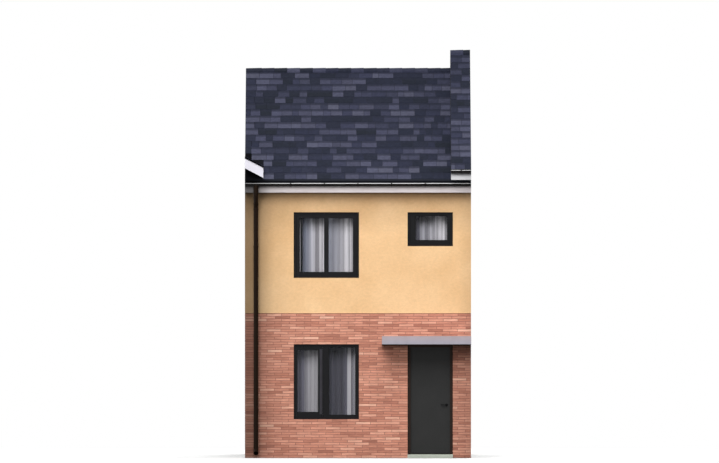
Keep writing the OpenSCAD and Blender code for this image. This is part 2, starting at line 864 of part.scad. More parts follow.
module eaves_gutter() difference() {
    gutter(left_x, right_x, gutter_y, gutter_h);
    translate([pipe_axis_x, gutter_y, gutter_h - gutter_r - cut])
        cylinder(h = gutter_r, r = pipe_r - pipe_t);
}

module front_gutter() color("dimgray") on_front() eaves_gutter();

module rear_gutter() color("dimgray") eaves_gutter();

module front_downpipe() color("black") on_front() downpipe();

module rear_downpipe() color("black") downpipe();

module ground_window_frame() color("#262526") in_front(ground_window)
    frame_unit(window_w, ground_window_h, [sash_bay, fixed_pane], [fixed_pane]);

module ground_window_sash() color("#2a292a") in_front(ground_window) sash_unit();

module ground_window_glass() color("lightsteelblue") in_front(ground_window)
    glass_unit([sash_pane, fixed_pane]);

module upper_window_frames() color("#262526") {
    in_front(upper_window) frame_unit(window_w, upper_window_h, upper_panes, upper_panes);
    in_front(small_window) frame_unit(door_w, small_window_h, small_panes, small_panes);
}

module upper_window_glass() color("lightsteelblue") {
    in_front(upper_window) glass_unit(upper_panes);
    in_front(small_window) glass_unit(small_panes);
}

module rear_window_frames() color("#262526") {
    in_rear(ground_window)
        frame_unit(window_w, ground_window_h, [sash_bay, fixed_pane], [fixed_pane]);
    in_rear(ground_window) sash_unit();
    in_rear(upper_window) frame_unit(window_w, upper_window_h, upper_panes, upper_panes);
    in_rear(small_window) frame_unit(door_w, small_window_h, small_panes, small_panes);
}

module rear_window_glass() color("lightsteelblue") {
    in_rear(ground_window) glass_unit([sash_pane, fixed_pane]);
    in_rear(upper_window) glass_unit(upper_panes);
    in_rear(small_window) glass_unit(small_panes);
}

module front_door_frame() color("#353535") on_front() door_frame();

module front_door_leaf() color("#353535") on_front() difference() {
    leaf_slab();
    translate([spindle_x, leaf_in - cut, lever_h]) rotate([-90, 0, 0])
        cylinder(h = leaf_t + 2 * cut, r = spindle_r + spindle_room);
}

module front_door_roses() color("dimgray") on_front() roses(spindle_r + spindle_gap);

module front_door_lever() color("silver") on_front() lever_set();

// Fixed hinge halves: plate on the jamb, two knuckles and the pin through them
module fixed_hinges() for (i = [0 : hinges - 1])
    translate([pin_x, pin_y, hinge_low + i * hinge_pitch]) {
        low = knuckle_l / 2 + knuckle_gap;
        cylinder(h = 2 * knuckle_l, r = pin_r, center = true);
        for (m = [0, 1]) mirror([0, 0, m]) {
            translate([0, 0, low]) cylinder(h = knuckle_l - low, r = knuckle_r);
            block([-leaf_gap / 2, 0, low],
                  [plate_t - leaf_gap / 2, plate_w + knuckle_r, knuckle_l]);
        }
    }

// Turning hinge halves: plate on the leaf's edge and the middle knuckle
module turning_hinges() for (i = [0 : hinges - 1])
    translate([pin_x, pin_y, hinge_low + i * hinge_pitch]) difference() {
        union() {
            cylinder(h = knuckle_l, r = knuckle_r, center = true);
            block([leaf_gap / 2 - plate_t, 0, -knuckle_l / 2],
                  [leaf_gap / 2, plate_w + knuckle_r, knuckle_l / 2]);
        }
        cylinder(h = knuckle_l + 2 * cut, r = pin_r + pin_gap, center = true);
    }

module front_door_hinges() color("dimgray") on_front() fixed_hinges();

module front_door_hinge_plates() color("dimgray") on_front() turning_hinges();

module door_steps() color("darkgray") {
    door_step();
    on_front() door_step();
}

module door_canopy() color("silver") on_front() difference() {
    x0 = door_left - canopy_side;
    y1 = half_d + canopy_out;
    block([x0, half_d, door_head_h], [right_x, y1, door_head_h + canopy_t]);
    block([x0 + drip_in, y1 - drip_in - drip_w, door_head_h - cut],
          [right_x - drip_in, y1 - drip_in, door_head_h + drip_d]);
}

module rear_door_frame() color("#353535") {
    door_frame();
    fixed_hinges();
}

module rear_door_leaf() color("#353535") {
    leaf_slab();
    turning_hinges();
    roses(spindle_r);
    lever_set();
}

module curtain_tracks() color("white") for (m = [0, 1]) mirror([0, m, 0]) {
    track(ground_window);
    track(upper_window);
    track(small_window);
}

module ground_curtains() color("lightgray") on_front() {
    x0 = ground_window[0] - track_over;
    x1 = ground_window[0] + ground_window[2] + track_over;
    curtain(ground_window, x0, x0 + ground_curtains_w[0]);
    curtain(ground_window, x1 - ground_curtains_w[1], x1);
}

module upper_curtains() color("lightgray") on_front() {
    closed_pair(upper_window);
    closed_pair(small_window);
}

module rear_curtains() color("lightgray") {
    closed_pair(ground_window);
    closed_pair(upper_window);
    closed_pair(small_window);
}

ground_floor_slab();
front_brick_wall();
front_brick_pier();
front_brick_over_door();
front_render_wall();
rear_brick_wall();
rear_render_wall();
left_party_wall();
right_party_wall();
first_floor();
upper_ceiling();
front_roof_slope();
rear_roof_slope();
ridge_caps();
raised_verge_roof();
raised_verge_boards();
raised_verge_gutters();
left_verge_return();
left_bargeboard();
fascias();
soffits();
front_gutter();
rear_gutter();
front_downpipe();
rear_downpipe();
ground_window_frame();
ground_window_sash();
ground_window_glass();
upper_window_frames();
upper_window_glass();
rear_window_frames();
rear_window_glass();
front_door_frame();
front_door_leaf();
front_door_roses();
front_door_lever();
front_door_hinges();
front_door_hinge_plates();
door_steps();
door_canopy();
rear_door_frame();
rear_door_leaf();
curtain_tracks();
ground_curtains();
upper_curtains();
rear_curtains();
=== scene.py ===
"""Looks of a mid-terrace house, built round its packed construction model, in metres.

The frame holds the walls, roof, eaves, windows and doors at their real places. This script
lays the bricks, blocks and shingles, hangs the curtains and gives every surface its finish.
"""
import math

import bpy
import numpy as np
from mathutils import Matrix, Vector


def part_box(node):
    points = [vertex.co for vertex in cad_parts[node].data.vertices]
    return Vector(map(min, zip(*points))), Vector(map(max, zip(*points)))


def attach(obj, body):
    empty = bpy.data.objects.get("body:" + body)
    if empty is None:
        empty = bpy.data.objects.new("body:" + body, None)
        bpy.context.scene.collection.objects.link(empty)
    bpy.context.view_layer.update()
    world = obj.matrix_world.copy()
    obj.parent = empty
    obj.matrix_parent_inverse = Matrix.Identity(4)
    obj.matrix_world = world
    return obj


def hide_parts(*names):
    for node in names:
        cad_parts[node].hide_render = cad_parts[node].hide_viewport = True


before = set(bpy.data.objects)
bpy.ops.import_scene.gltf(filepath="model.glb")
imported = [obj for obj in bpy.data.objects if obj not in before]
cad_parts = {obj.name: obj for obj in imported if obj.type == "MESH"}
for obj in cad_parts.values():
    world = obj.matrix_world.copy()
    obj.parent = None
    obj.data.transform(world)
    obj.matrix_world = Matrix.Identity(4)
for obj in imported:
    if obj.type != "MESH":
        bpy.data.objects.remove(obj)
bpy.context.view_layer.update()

# Camera: the photograph is 719 pixels wide, and 50.7 of them make a metre on the front wall
PHOTO_WIDTH = 719
PIXELS_PER_METRE = 50.7
LENS = 1000
SENSOR = 36
VIEW_X = 0.03
VIEW_Z = 4.466
CLIP_ROOM = 60

# Studio: each lamp as its place, its target, its size and its power
LAMPS = {
    "key": ((-2, -21, 15.5), (0, -3.5, 3.5), 12, 3380),
    "fill": ((-9, -18, 2), (0, -3.5, 2.5), 6, 400),
    "left_side": ((-18, 3, 9), (0, 0, 4), 8, 1600),
    "right_side": ((18, 3, 9), (0, 0, 4), 8, 1600),
    "back": ((3, 19, 15), (0, 3.5, 3.5), 8, 2600),
}
AMBIENT = 0.53
HORIZON = 0.02
FLOOR_CLEAR = 6.5
FLOOR_RADIUS = 15
FLOOR_DROP = 0.002

# Masonry: each kind as its course pitch, its bond length and its joint
BRICK = (0.0508, 0.290, 0.008)
BLOCK = (0.225, 0.450, 0.010)
MORTAR_SET = 0.005
UNIT_DEPTH = 0.040
UNIT_CELLS = 5
REVEAL_PROUD = 0.001
LEAST_CUT = 0.012
BOND_SHIFT = 0.08
ON_FACE = 1e-4

# Tones of bricks and blocks, from 0 to 1: the middle and spread, and the few paler ones
COMMON_TONE = (0.5, 0.2)
PALEST_COMMON = 0.9
PALE_SHARE = 0.035
PALE_TONES = (0.85, 1.0)

# Shingles: rows up a slope, and the widths of their tabs with the share of each width
ROOF_PITCH = math.radians(30)
SHINGLE_PITCH = 0.252
SHINGLE_LAP = 1.12
TAB_SIZES = (0.14, 0.21, 0.28)
TAB_SHARES = (0.2, 0.45, 0.35)
TAB_SPREAD = 0.02
LEAST_TAB = 0.05
TAB_GAP = 0.003
TAB_DROP = 0.004
TAB_RISE = (0.0075, 0.002)
TAB_UNEVEN = (-0.001, 0.0015)
NEW_TONE_SHARE = 0.92
TONE_SPREAD = 0.06

# Forms of units: how deep the back lies, the bevel, how uneven they are, and their cells
TAB_FORM = (0.001, 0.0015, 0.0006, 3)
STOP_BEAD_FORM = (0.002, 0.002, 0.0, 24)
SHADE_STRIP_FORM = (0.002, 0.001, 0.0, 4)
INTERLOCK_FORM = (0.002, 0.002, 0.0, 3)
FELT_FORM = (0.001, 0.001, 0.0, 24)

# Verge return at the left end, and the valley where the front slope meets it
RETURN_SLOPE = math.radians(27.5)
RETURN_DECK = 0.030 / math.cos(ROOF_PITCH)
RETURN_TAPER = 0.62
RETURN_GAP = 0.001
RETURN_RISE = (0.006, 0.002)
VALLEY_RUN = 0.108

# Ridge caps: their folds are shares of a leg, and a stand is how high they lie on a slope
CAP_EXPOSED = 0.25
CAP_COVER = 0.06
CAP_THICK = 0.008
CAP_FOLDS = (-1, -0.66, -0.33, -0.06, 0.06, 0.33, 0.66, 1)
CAP_FLAT = 0.02
CAP_LIFT = 0.008
CAP_SPREAD = 1.02
CAP_STAND = 0.019
STRIP_CAP_STAND = 0.029
CAP_TONES = (0.05, 0.85)
CAP_SHARE = 0.3

# Curtains: how far from the middle of the house they hang, and how far past a window
CURTAIN_Y = 3.140
CURTAIN_LAP = 0.090
CURTAIN_DROP = 0.115
CURTAIN_RISE = 0.058
PAIR_GAP = 0.002
CURTAIN_SEED = 300

# Folds: their width, depth and drift, and how they gather, swing and ripple
FOLD = 0.105
FOLD_COLUMNS = 20
CURTAIN_ROWS = 16
FOLD_DEPTH = (0.012, 0.024)
FOLD_DRIFT = 0.3
FOLD_LEAN = 0.012
GATHERED = 0.45
SWING = 0.35
SWING_PHASE = 6
RIPPLE = 0.3
RIPPLE_TURNS = 3

# Light on the cloth: its stripes; painted light, lighter towards its right and cooler towards its
# left; painted shade in its folds and on the gathers below the track
STRIPES = (0.015, 0.075)
SIDE_LIGHT = (0.8, 0.4)
FOLD_LIGHT = (0.9, 0.25)
COOL_SIDE = (1.1, 2)
COOL_SPREAD = 0.3
HEADING_SHADE = 0.1
HEADING_SHADE_SPREAD = (0.5, 2.4)
HEADING_SHADE_FADE = 1.4
HEADING_SHADE_WAVE = 0.02

# Gutter: its rolled lip, the bracket round it, and how far the lip's painted highlight reaches
# past it
LIP_RADIUS = 0.009
BRACKET = 0.004
HIGHLIGHT_MARGIN = 0.0008

# Strips: a rise is how far the foot and the head stand out, as for all units
STOP_BEAD_RISE = (0.008, 0.004)
STOP_BEAD_HEIGHT = 0.012
SHADE_STRIP_RISE = (0.004, 0.006)
SHADE_STRIP_HEIGHT = 0.022
INTERLOCK_RISE = (0.006, 0.006)
INTERLOCK_WIDTH = 0.054
INTERLOCK_INSET = 0.006
INTERLOCK_END = 0.045
FELT_RISE = (0.004, 0.002)
FELT_HANG = 0.03

# Most of a noise lies in this span
NOISE_SPAN = (0.3, 0.7)

# Painted shade towards both ends of the wall: how much of its colour it keeps, as places along
# the front from 0 to 1 and gains
END_SHADE = [(0.0, 0.31), (0.045, 0.335), (0.076, 0.55), (0.128, 0.77), (0.2, 0.9), (0.3, 0.98),
        (0.94, 1.0), (1.0, 0.84)]

# Painted shade behind the downpipe: two places from the left end, and what the first one keeps
BOARD_SHADE = (0.18, 0.5, 0.38)
FELT_SHADE = (0.18, 0.5, 0.3)
RENDER_SHADE = (0.2, 0.6, 0.87)

# Painted shade by height: two depths below a part's foot, and a number at each
SOFFIT_CONTACT_SHADE = (0.06, 0.0, 1.0, 0.05)
SOFFIT_SHADE = (0.85, 0.1, 1.0, 0.67)
GUTTER_SHADE = (0.03, 0.0, 1.0, 0.7)
STRIP_GUTTER_SHADE = (0.065, 0.0, 1.0, 0.2)
CANOPY_SHADE = (0.13, 0.02, 0.0, 0.6)
CORNER_SHADE = (0.35, 0.04, 0.15, 0.75)

# Canopy: where its face turns warm above its foot, and its dark drip edge
CANOPY_WARMTH = (-0.05, -0.165, 0.0, 1.0)
DRIP_EDGE = 0.007

# Plaster on the rooms' side, which starts behind the frames
FRAME_BACK = 0.1
EDGE = 0.01


# What the frame says

def front_box(node):
    """A node's rectangle on the front, as left, foot, right and head."""
    (x0, _, z0), (x1, _, z1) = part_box(node)
    return x0, z0, x1, z1


def points_of(mesh):
    """A mesh's vertices, one row of coordinates each."""
    points = np.empty(len(mesh.vertices) * 3)
    mesh.vertices.foreach_get("co", points)
    return points.reshape(-1, 3)


def window_boxes(split):
    """The large and the small upper window, which lie on each side of a place in one node."""
    points = points_of(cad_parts["upper_window_frames"].data)
    boxes = {}
    for name, chosen in (("large", points[:, 0] < split), ("small", points[:, 0] > split)):
        low, high = points[chosen].min(axis=0), points[chosen].max(axis=0)
        boxes[name] = (low[0], low[2], high[0], high[2])
    return boxes


LEFT, FRONT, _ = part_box("front_brick_wall")[0]
RIGHT, REAR, BRICK_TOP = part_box("rear_brick_wall")[1]
INNER_RIGHT, INNER_REAR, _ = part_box("first_floor")[1]
EAVE_REAR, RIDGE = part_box("rear_roof_slope")[1][1:]
STRIP_LEFT, STRIP_FRONT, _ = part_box("raised_verge_roof")[0]
STRIP_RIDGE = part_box("raised_verge_roof")[1][2]
SOFFIT_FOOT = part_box("soffits")[0][2]
CANOPY_LEFT, CANOPY_FOOT, CANOPY_RIGHT, _ = front_box("door_canopy")
DOOR_LEFT, _, DOOR_RIGHT, DOOR_HEAD = front_box("front_door_frame")
DOOR = (DOOR_LEFT, 0.0, DOOR_RIGHT, DOOR_HEAD)
GROUND_WINDOW = front_box("ground_window_frame")
WINDOWS = {"ground": GROUND_WINDOW, **window_boxes((GROUND_WINDOW[2] + DOOR_LEFT) / 2)}


# Meshes

class Plane:
    """A flat face that pieces are laid on: where it starts, and its directions along and up."""

    def __init__(self, origin, along, up=(0, 0, 1)):
        self.origin = np.array(origin, float)
        self.axes = np.array([along, up, np.cross(along, up)], float)

    def place(self, points):
        """Points given along, up and out of the face, in the model's frame."""
        return self.origin + np.array(points) @ self.axes


class Stock:
    """Vertices and faces on their way to one mesh, with random draws of its own, and a tone
    per vertex: how light it is, a second tone, and how far up its piece the vertex lies."""

    def __init__(self, seed=0):
        self.verts, self.faces, self.slots, self.tones = [], [], [], []
        self.count = 0
        self.rng = np.random.default_rng(seed)

    def add(self, verts, faces, slot=0, tone=(0.5, 0.5, 0.5)):
        self.verts.append(np.asarray(verts, float))
        self.faces += [[i + self.count for i in face] for face in faces]
        self.slots += [slot] * len(faces)
        self.tones.append(np.column_stack([np.broadcast_to(tone, (len(verts), 3)),
                                           np.ones(len(verts))]))
        self.count += len(verts)

    def mesh(self, name):
        mesh = bpy.data.meshes.new(name)
        mesh.from_pydata(np.concatenate(self.verts).tolist(), [], self.faces)
        mesh.polygons.foreach_set("material_index", self.slots)
        tone = mesh.attributes.new("tone", "FLOAT_COLOR", "POINT")
        tone.data.foreach_set("color", np.concatenate(self.tones).ravel())
        mesh.update()
        return mesh


def make_piece(name, stock, materials, replaces=()):
    """Makes a stock into a piece of the scene that rides on the house."""
    piece = bpy.data.objects.new(name, stock.mesh(name))
    bpy.context.scene.collection.objects.link(piece)
    for material in materials:
        piece.data.materials.append(material)
    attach(piece, "house")
    if replaces:
        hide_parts(*replaces)
    return piece


# Materials

def rgb(*channels):
    """An sRGB colour of 0 to 255 as a linear colour with alpha."""
    scaled = [c / 255 for c in channels]
    return (*[c / 12.92 if c <= 0.04045 else ((c + 0.055) / 1.055) ** 2.4 for c in scaled], 1)


PLASTER = rgb(224, 221, 214)
WHITE = (1, 1, 1, 1)


class Nodes:
    """Short calls that add shader nodes to a tree."""

    def __init__(self, tree):
        self.tree = tree

    def feed(self, socket, value):
        if isinstance(value, bpy.types.NodeSocket):
            self.tree.links.new(value, socket)
        else:
            socket.default_value = value

    def node(self, kind, inputs=(), **settings):
        """A new node with its settings, its inputs given by name or number."""
        node = self.tree.nodes.new("ShaderNode" + kind)
        for key, value in settings.items():
            setattr(node, key, value)
        for key, value in dict(inputs).items():
            self.feed(node.inputs[key], value)
        return node

    def math(self, operation, a, b=0.0):
        return self.node("Math", {0: a, 1: b}, operation=operation).outputs[0]

    def fit(self, value, low, high, to_low=0.0, to_high=1.0):
        ins = {0: value, 1: low, 2: high, 3: to_low, 4: to_high}
        return self.node("MapRange", ins).outputs[0]


class Finish(Nodes):
    """A Principled material, with short calls for what varies it from place to place."""

    def __init__(self, name, roughness=0.5, specular=0.5, metallic=0.0, sheen=0.0):
        self.material = bpy.data.materials.new(name)
        self.material.use_nodes = True
        super().__init__(self.material.node_tree)
        self.shader = self.tree.nodes["Principled BSDF"]
        for key, value in (("Roughness", roughness), ("Specular IOR Level", specular),
                           ("Metallic", metallic), ("Sheen Weight", sheen)):
            self.shader.inputs[key].default_value = value

    def place(self, stretch=(1, 1, 1)):
        """Where a point lies in the model, stretched along each axis."""
        spot = self.node("TexCoord").outputs["Object"]
        return self.node("Mapping", {"Vector": spot, "Scale": stretch}).outputs[0]

    def noise(self, scale, detail=3, stretch=(1, 1, 1)):
        ins = {"Vector": self.place(stretch), "Scale": scale, "Detail": detail, "Roughness": 0.55}
        return self.node("TexNoise", ins).outputs["Fac"]

    def tone(self, channel=0):
        colour = self.node("Attribute", attribute_name="tone").outputs["Color"]
        return self.node("SeparateColor", {"Color": colour}).outputs[channel]

    def axis(self, channel):
        """One coordinate of a point in the model."""
        return self.node("SeparateXYZ", {0: self.place()}).outputs[channel]

    def over(self, channel, limit):
        """1 where a coordinate is more than a limit, else 0."""
        return self.math("GREATER_THAN", self.axis(channel), limit)

    def under(self, channel, limit):
        """1 where a coordinate is less than a limit, else 0."""
        return self.math("LESS_THAN", self.axis(channel), limit)

    def off_centre(self, channel):
        """How far a point lies from the middle of the model along an axis."""
        return self.math("ABSOLUTE", self.axis(channel))

    def below(self, foot, start, end, at_start, at_end):
        """A number that changes between two depths below a foot."""
        return self.fit(self.axis(2), foot - start, foot - end, at_start, at_end)

    def ramp(self, factor, stops):
        node = self.node("ValToRGB", {"Fac": factor})
        elements = node.color_ramp.elements
        while len(elements) < len(stops):
            elements.new(0.5)
        for element, (position, colour) in zip(elements, stops):
            element.position = position
            element.color = colour
        return node.outputs["Color"]

    def mix(self, factor, a, b, blend="MIX"):
        node = self.node("Mix", data_type="RGBA", blend_type=blend)
        for name, value in (("Factor_Float", factor), ("A_Color", a), ("B_Color", b)):
            socket = next(s for s in node.inputs if s.identifier == name)
            self.feed(socket, value)
        return next(s for s in node.outputs if s.identifier == "Result_Color")

    def scale(self, colour, gain):
        """The colour times a number."""
        grey = self.node("CombineColor", {0: gain, 1: gain, 2: gain}).outputs[0]
        return self.mix(1.0, colour, grey, "MULTIPLY")

    def shade(self, colour, *layers):
        """The colour made darker or lighter by noises, each with its least and most gain."""
        for noise, low, high in layers:
            colour = self.scale(colour, self.fit(noise, *NOISE_SPAN, low, high))
        return colour

    def pair(self, noise, low, high):
        """A colour between two, as a noise says."""
        return self.ramp(noise, list(zip(NOISE_SPAN, (rgb(*low), rgb(*high)))))

    def paint_end_shade(self, colour, behind_pipe=None):
        """The colour made darker towards both ends of the wall and once more behind the downpipe
        where that is asked for: painted shade."""
        stops = [(x, (gain, gain, gain, 1)) for x, gain in END_SHADE]
        gains = self.ramp(self.fit(self.axis(0), LEFT, RIGHT), stops)
        body = self.mix(1.0, colour, gains, "MULTIPLY")
        if behind_pipe is None:
            return body
        start, end, kept = behind_pipe
        return self.scale(body, self.fit(self.axis(0), LEFT + start, LEFT + end, kept, 1.0))

    def paint_canopy_shade(self, colour):
        """The colour made darker on the wall under the canopy, most in the corner on its right:
        painted shade."""
        corner = self.math("MULTIPLY", self.below(CANOPY_FOOT, *CORNER_SHADE),
                           self.over(0, DOOR_RIGHT))
        painted_shade = self.math("MAXIMUM", self.below(CANOPY_FOOT, *CANOPY_SHADE), corner)
        for within in (self.over(0, CANOPY_LEFT), self.under(1, 0.0), self.under(2, CANOPY_FOOT)):
            painted_shade = self.math("MULTIPLY", painted_shade, within)
        return self.scale(colour, self.math("SUBTRACT", 1.0, painted_shade))

    def plaster_inside(self, colour):
        """The colour, but plaster on the faces of the front and rear walls behind the
        windows."""
        deep = self.math("LESS_THAN", self.off_centre(1), REAR - FRAME_BACK)
        between = self.math("LESS_THAN", self.off_centre(0), RIGHT - EDGE)
        return self.mix(self.math("MULTIPLY", deep, between), colour, PLASTER)

    def done(self, colour, *bumps):
        """The material with its colour and its bumps, each given as height, depth in metres
        and strength."""
        self.feed(self.shader.inputs["Base Color"], colour)
        normal = self.shader.inputs["Normal"]
        for height, depth, strength in reversed(bumps):
            ins = {"Height": height, "Distance": depth, "Strength": strength}
            bump = self.node("Bump", ins)
            self.feed(normal, bump.outputs[0])
            normal = bump.inputs["Normal"]
        return self.material


def brick_finish():
    f = Finish("fired_brick", roughness=0.9, specular=0.2)
    body = f.ramp(f.tone(), [(0.0, rgb(176, 118, 100)), (0.3, rgb(203, 138, 116)),
                             (0.6, rgb(220, 156, 133)), (0.85, rgb(233, 171, 147)),
                             (1.0, rgb(244, 191, 166))])
    streak = f.noise(7, 5, (1, 1, 11))
    patch = f.noise(1.7, 3)
    sand = f.noise(260, 2)
    body = f.shade(body, (streak, 0.8, 1.2), (patch, 0.92, 1.08), (sand, 0.94, 1.06))
    # Painted shade towards the wall's ends and under the canopy.
    return f.done(f.paint_canopy_shade(f.paint_end_shade(body)), (streak, 0.003, 0.6), (sand, 0.0008, 0.6))


def mortar_finish():
    f = Finish("brick_mortar", roughness=0.95)
    grain = f.noise(320, 2)
    body = f.shade(rgb(156, 106, 92), (grain, 0.9, 1.1))
    # Painted shade towards the wall's ends and under the canopy.
    return f.done(f.plaster_inside(f.paint_canopy_shade(f.paint_end_shade(body))), (grain, 0.001, 0.7))


def block_finish():
    f = Finish("wall_block", roughness=0.95)
    body = f.ramp(f.tone(), [(0.0, rgb(168, 166, 160)), (1.0, rgb(188, 186, 180))])
    pores = f.noise(140, 5)
    return f.done(f.shade(body, (pores, 0.92, 1.06)), (pores, 0.002, 0.7))


def block_mortar_finish():
    """Mortar outside, and plaster on the rooms' side below the roof."""
    f = Finish("block_mortar", roughness=0.95)
    grain = f.noise(300, 2)
    inside = f.math("LESS_THAN", f.off_centre(0), INNER_RIGHT + EDGE)
    fall = f.math("MULTIPLY", f.off_centre(1), math.tan(ROOF_PITCH))
    below_roof = f.math("LESS_THAN", f.math("ADD", f.axis(2), fall), RIDGE - 2 * EDGE)
    outer = f.shade(rgb(150, 148, 142), (grain, 0.9, 1.08))
    body = f.mix(f.math("MULTIPLY", inside, below_roof), outer, PLASTER)
    return f.done(body, (grain, 0.001, 0.6))


def render_finish():
    """Sand render with painted shade below the soffit, darkest right under it, which stays off
    the wall's ends."""
    f = Finish("sand_render", roughness=0.93, specular=0.2)
    clouds = f.noise(1.3, 5)
    float_marks = f.noise(14, 5, (1, 1, 1.6))
    dash = f.noise(55, 4)
    grains = f.noise(240, 3)
    body = f.pair(clouds, (240, 195, 143), (254, 212, 162))
    body = f.shade(body, (float_marks, 0.95, 1.045), (dash, 0.97, 1.03), (grains, 0.96, 1.04))
    # Painted shade right under the soffit, kept off the wall's ends, and softer painted shade
    # further down.
    at_end = f.math("LESS_THAN", f.off_centre(1), REAR - EDGE / 2)
    contact_shade = f.math("MAXIMUM", f.below(SOFFIT_FOOT, *SOFFIT_CONTACT_SHADE), at_end)
    kept = f.math("MULTIPLY", contact_shade, f.below(SOFFIT_FOOT, *SOFFIT_SHADE))
    # Painted shade towards the wall's ends and behind the downpipe.
    body = f.plaster_inside(f.scale(f.paint_end_shade(body, RENDER_SHADE), kept))
    return f.done(body, (float_marks, 0.004, 0.4), (dash, 0.004, 0.5), (grains, 0.002, 0.8))


def shingle_finish():
    """Tabs of several greys, each with a dark band along its upper part that paints the shadow of
    the row above.
    """
    f = Finish("mineral_shingle", roughness=0.9, specular=0.15)
    body = f.ramp(f.tone(), [(0.0, rgb(32, 36, 46)), (0.3, rgb(41, 44, 60)),
                             (0.52, rgb(58, 60, 78)), (0.8, rgb(73, 74, 92)),
                             (1.0, rgb(85, 86, 103))])
    body = f.mix(f.math("MULTIPLY", f.tone(1), 0.3), body, (0.88, 0.93, 1.16, 1), "MULTIPLY")
    # Painted shadow of the row above along each tab's upper part.
    shadow_band = f.fit(f.tone(2), 0.52, 0.66)
    body = f.mix(f.math("MULTIPLY", shadow_band, 0.75), body, rgb(38, 41, 55))
    blotch = f.noise(16, 4)
    granules = f.noise(420, 2)
    body = f.shade(body, (blotch, 0.84, 1.16), (granules, 0.86, 1.14))
    return f.done(body, (blotch, 0.002, 0.3), (granules, 0.0012, 0.9))


def felt_finish():
    f = Finish("roof_underlay", roughness=0.9, specular=0.05)
    grain = f.noise(300, 2)
    # Painted shade towards the wall's ends and behind the downpipe.
    body = f.paint_end_shade(f.shade(rgb(46, 48, 56), (grain, 0.85, 1.15)), FELT_SHADE)
    return f.done(body, (grain, 0.001, 0.5))


def cheek_finish():
    """Roof underlay, near black as painted shade for the void under the bargeboard, whose left
    side is a painted cheek.
    """
    f = Finish("verge_cheek", roughness=0.8, specular=0.0)
    grain = f.noise(300, 2)
    normal = f.node("NewGeometry").outputs["Normal"]
    facing = f.node("SeparateXYZ", {0: normal}).outputs[0]
    # Near black underlay: painted shade under the bargeboard.
    body = f.mix(f.math("LESS_THAN", facing, -0.9), rgb(6, 8, 8), rgb(200, 198, 206))
    return f.done(f.shade(body, (grain, 0.95, 1.05)), (grain, 0.001, 0.4))


def board_finish(name, dull, clean, end_shade=False, under=None, painted_shade=None):
    """Painted board, with painted shade towards the wall's ends and behind the downpipe where
    that is asked for, and painted shade under a node that is given.
    """
    f = Finish(name, specular=0.3)
    grain = f.noise(30, 4, (1, 8, 8))
    patches = f.noise(3.2, 5, (1, 1, 3))
    body = f.shade(f.pair(patches, dull, clean), (grain, 0.98, 1.02))
    if end_shade:
        # Painted shade towards the wall's ends and behind the downpipe.
        body = f.paint_end_shade(body, BOARD_SHADE)
    # Painted shadow of the gutter on the board below it.
    if under:
        body = f.scale(body, f.below(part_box(under)[0][2], *painted_shade))
    return f.done(body, (grain, 0.001, 0.25))


def gutter_finish(name, node, lower):
    """Black gutter whose rolled lip carries a pale painted highlight. lower is how far the middle
    of the highlight lies below the lip's."""
    _, (_, out, rim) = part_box(node)
    f = Finish(name, roughness=0.45, specular=0.1)
    across = f.math("SUBTRACT", f.off_centre(1), out - BRACKET - LIP_RADIUS)
    up = f.math("SUBTRACT", f.axis(2), rim - BRACKET - LIP_RADIUS - lower)
    spot = f.node("CombineXYZ", {0: across, 1: up}).outputs[0]
    distance = f.node("VectorMath", {0: spot}, operation="LENGTH").outputs["Value"]
    highlight = f.math("LESS_THAN", distance, LIP_RADIUS + HIGHLIGHT_MARGIN)
    wear = f.noise(40, 4)
    black = f.shade(rgb(13, 11, 11), (wear, 0.8, 1.25))
    # Painted highlight on the lip, with painted shade towards the wall's ends.
    pale = f.paint_end_shade(f.shade(rgb(234, 234, 234), (wear, 0.92, 1.04)))
    return f.done(f.mix(highlight, black, pale), (wear, 0.0006, 0.3))


def pipe_finish():
    f = Finish("pipe_paint", specular=0.05)
    runs = f.noise(30, 4, (3, 3, 0.3))
    return f.done(f.shade(rgb(24, 14, 7), (runs, 0.8, 1.3)), (runs, 0.0006, 0.3))


def frame_finish(name, *colour):
    f = Finish(name, specular=0.1)
    coat = f.noise(500, 2)
    haze = f.noise(5, 4)
    body = f.shade(rgb(*colour), (haze, 0.9, 1.12), (coat, 0.96, 1.04))
    return f.done(body, (coat, 0.0002, 0.5))


def door_finish():
    f = Finish("door_paint", specular=0.15)
    grain = f.noise(60, 4, (1, 1, 0.06))
    haze = f.noise(3, 4)
    body = f.shade(rgb(43, 43, 43), (haze, 0.93, 1.07), (grain, 0.96, 1.04))
    return f.done(body, (grain, 0.0006, 0.3))


def handle_finish():
    f = Finish("handle_coating", roughness=0.4, specular=0.08)
    rub = f.noise(70, 4)
    return f.done(f.shade(rgb(9, 9, 10), (rub, 0.8, 1.3)), (rub, 0.0003, 0.3))


def hinge_finish():
    f = Finish("hinge_metal", metallic=0.9)
    brushed = f.noise(90, 3, (0.3, 4, 4))
    f.feed(f.shader.inputs["Roughness"], f.fit(brushed, *NOISE_SPAN, 0.30, 0.43))
    body = f.shade(rgb(120, 120, 122), (brushed, 0.92, 1.08))
    return f.done(body, (brushed, 0.0002, 0.3))


def glass_finish():
    """Clear glass that mirrors at a slant and lets lamps through to what is behind it."""
    f = Finish("window_glass")
    clear = f.node("BsdfTransparent", {"Color": (0.965, 0.975, 0.98, 1)}).outputs[0]
    shine = f.node("BsdfGlossy", {"Color": (0.95, 0.97, 1, 1), "Roughness": 0.02}).outputs[0]
    mirror = f.node("Fresnel", {"IOR": 1.22}).outputs[0]
    surface = f.node("MixShader", {0: mirror, 1: clear, 2: shine}).outputs[0]
    f.feed(f.tree.nodes["Material Output"].inputs["Surface"], surface)
    f.tree.nodes.remove(f.shader)
    return f.material


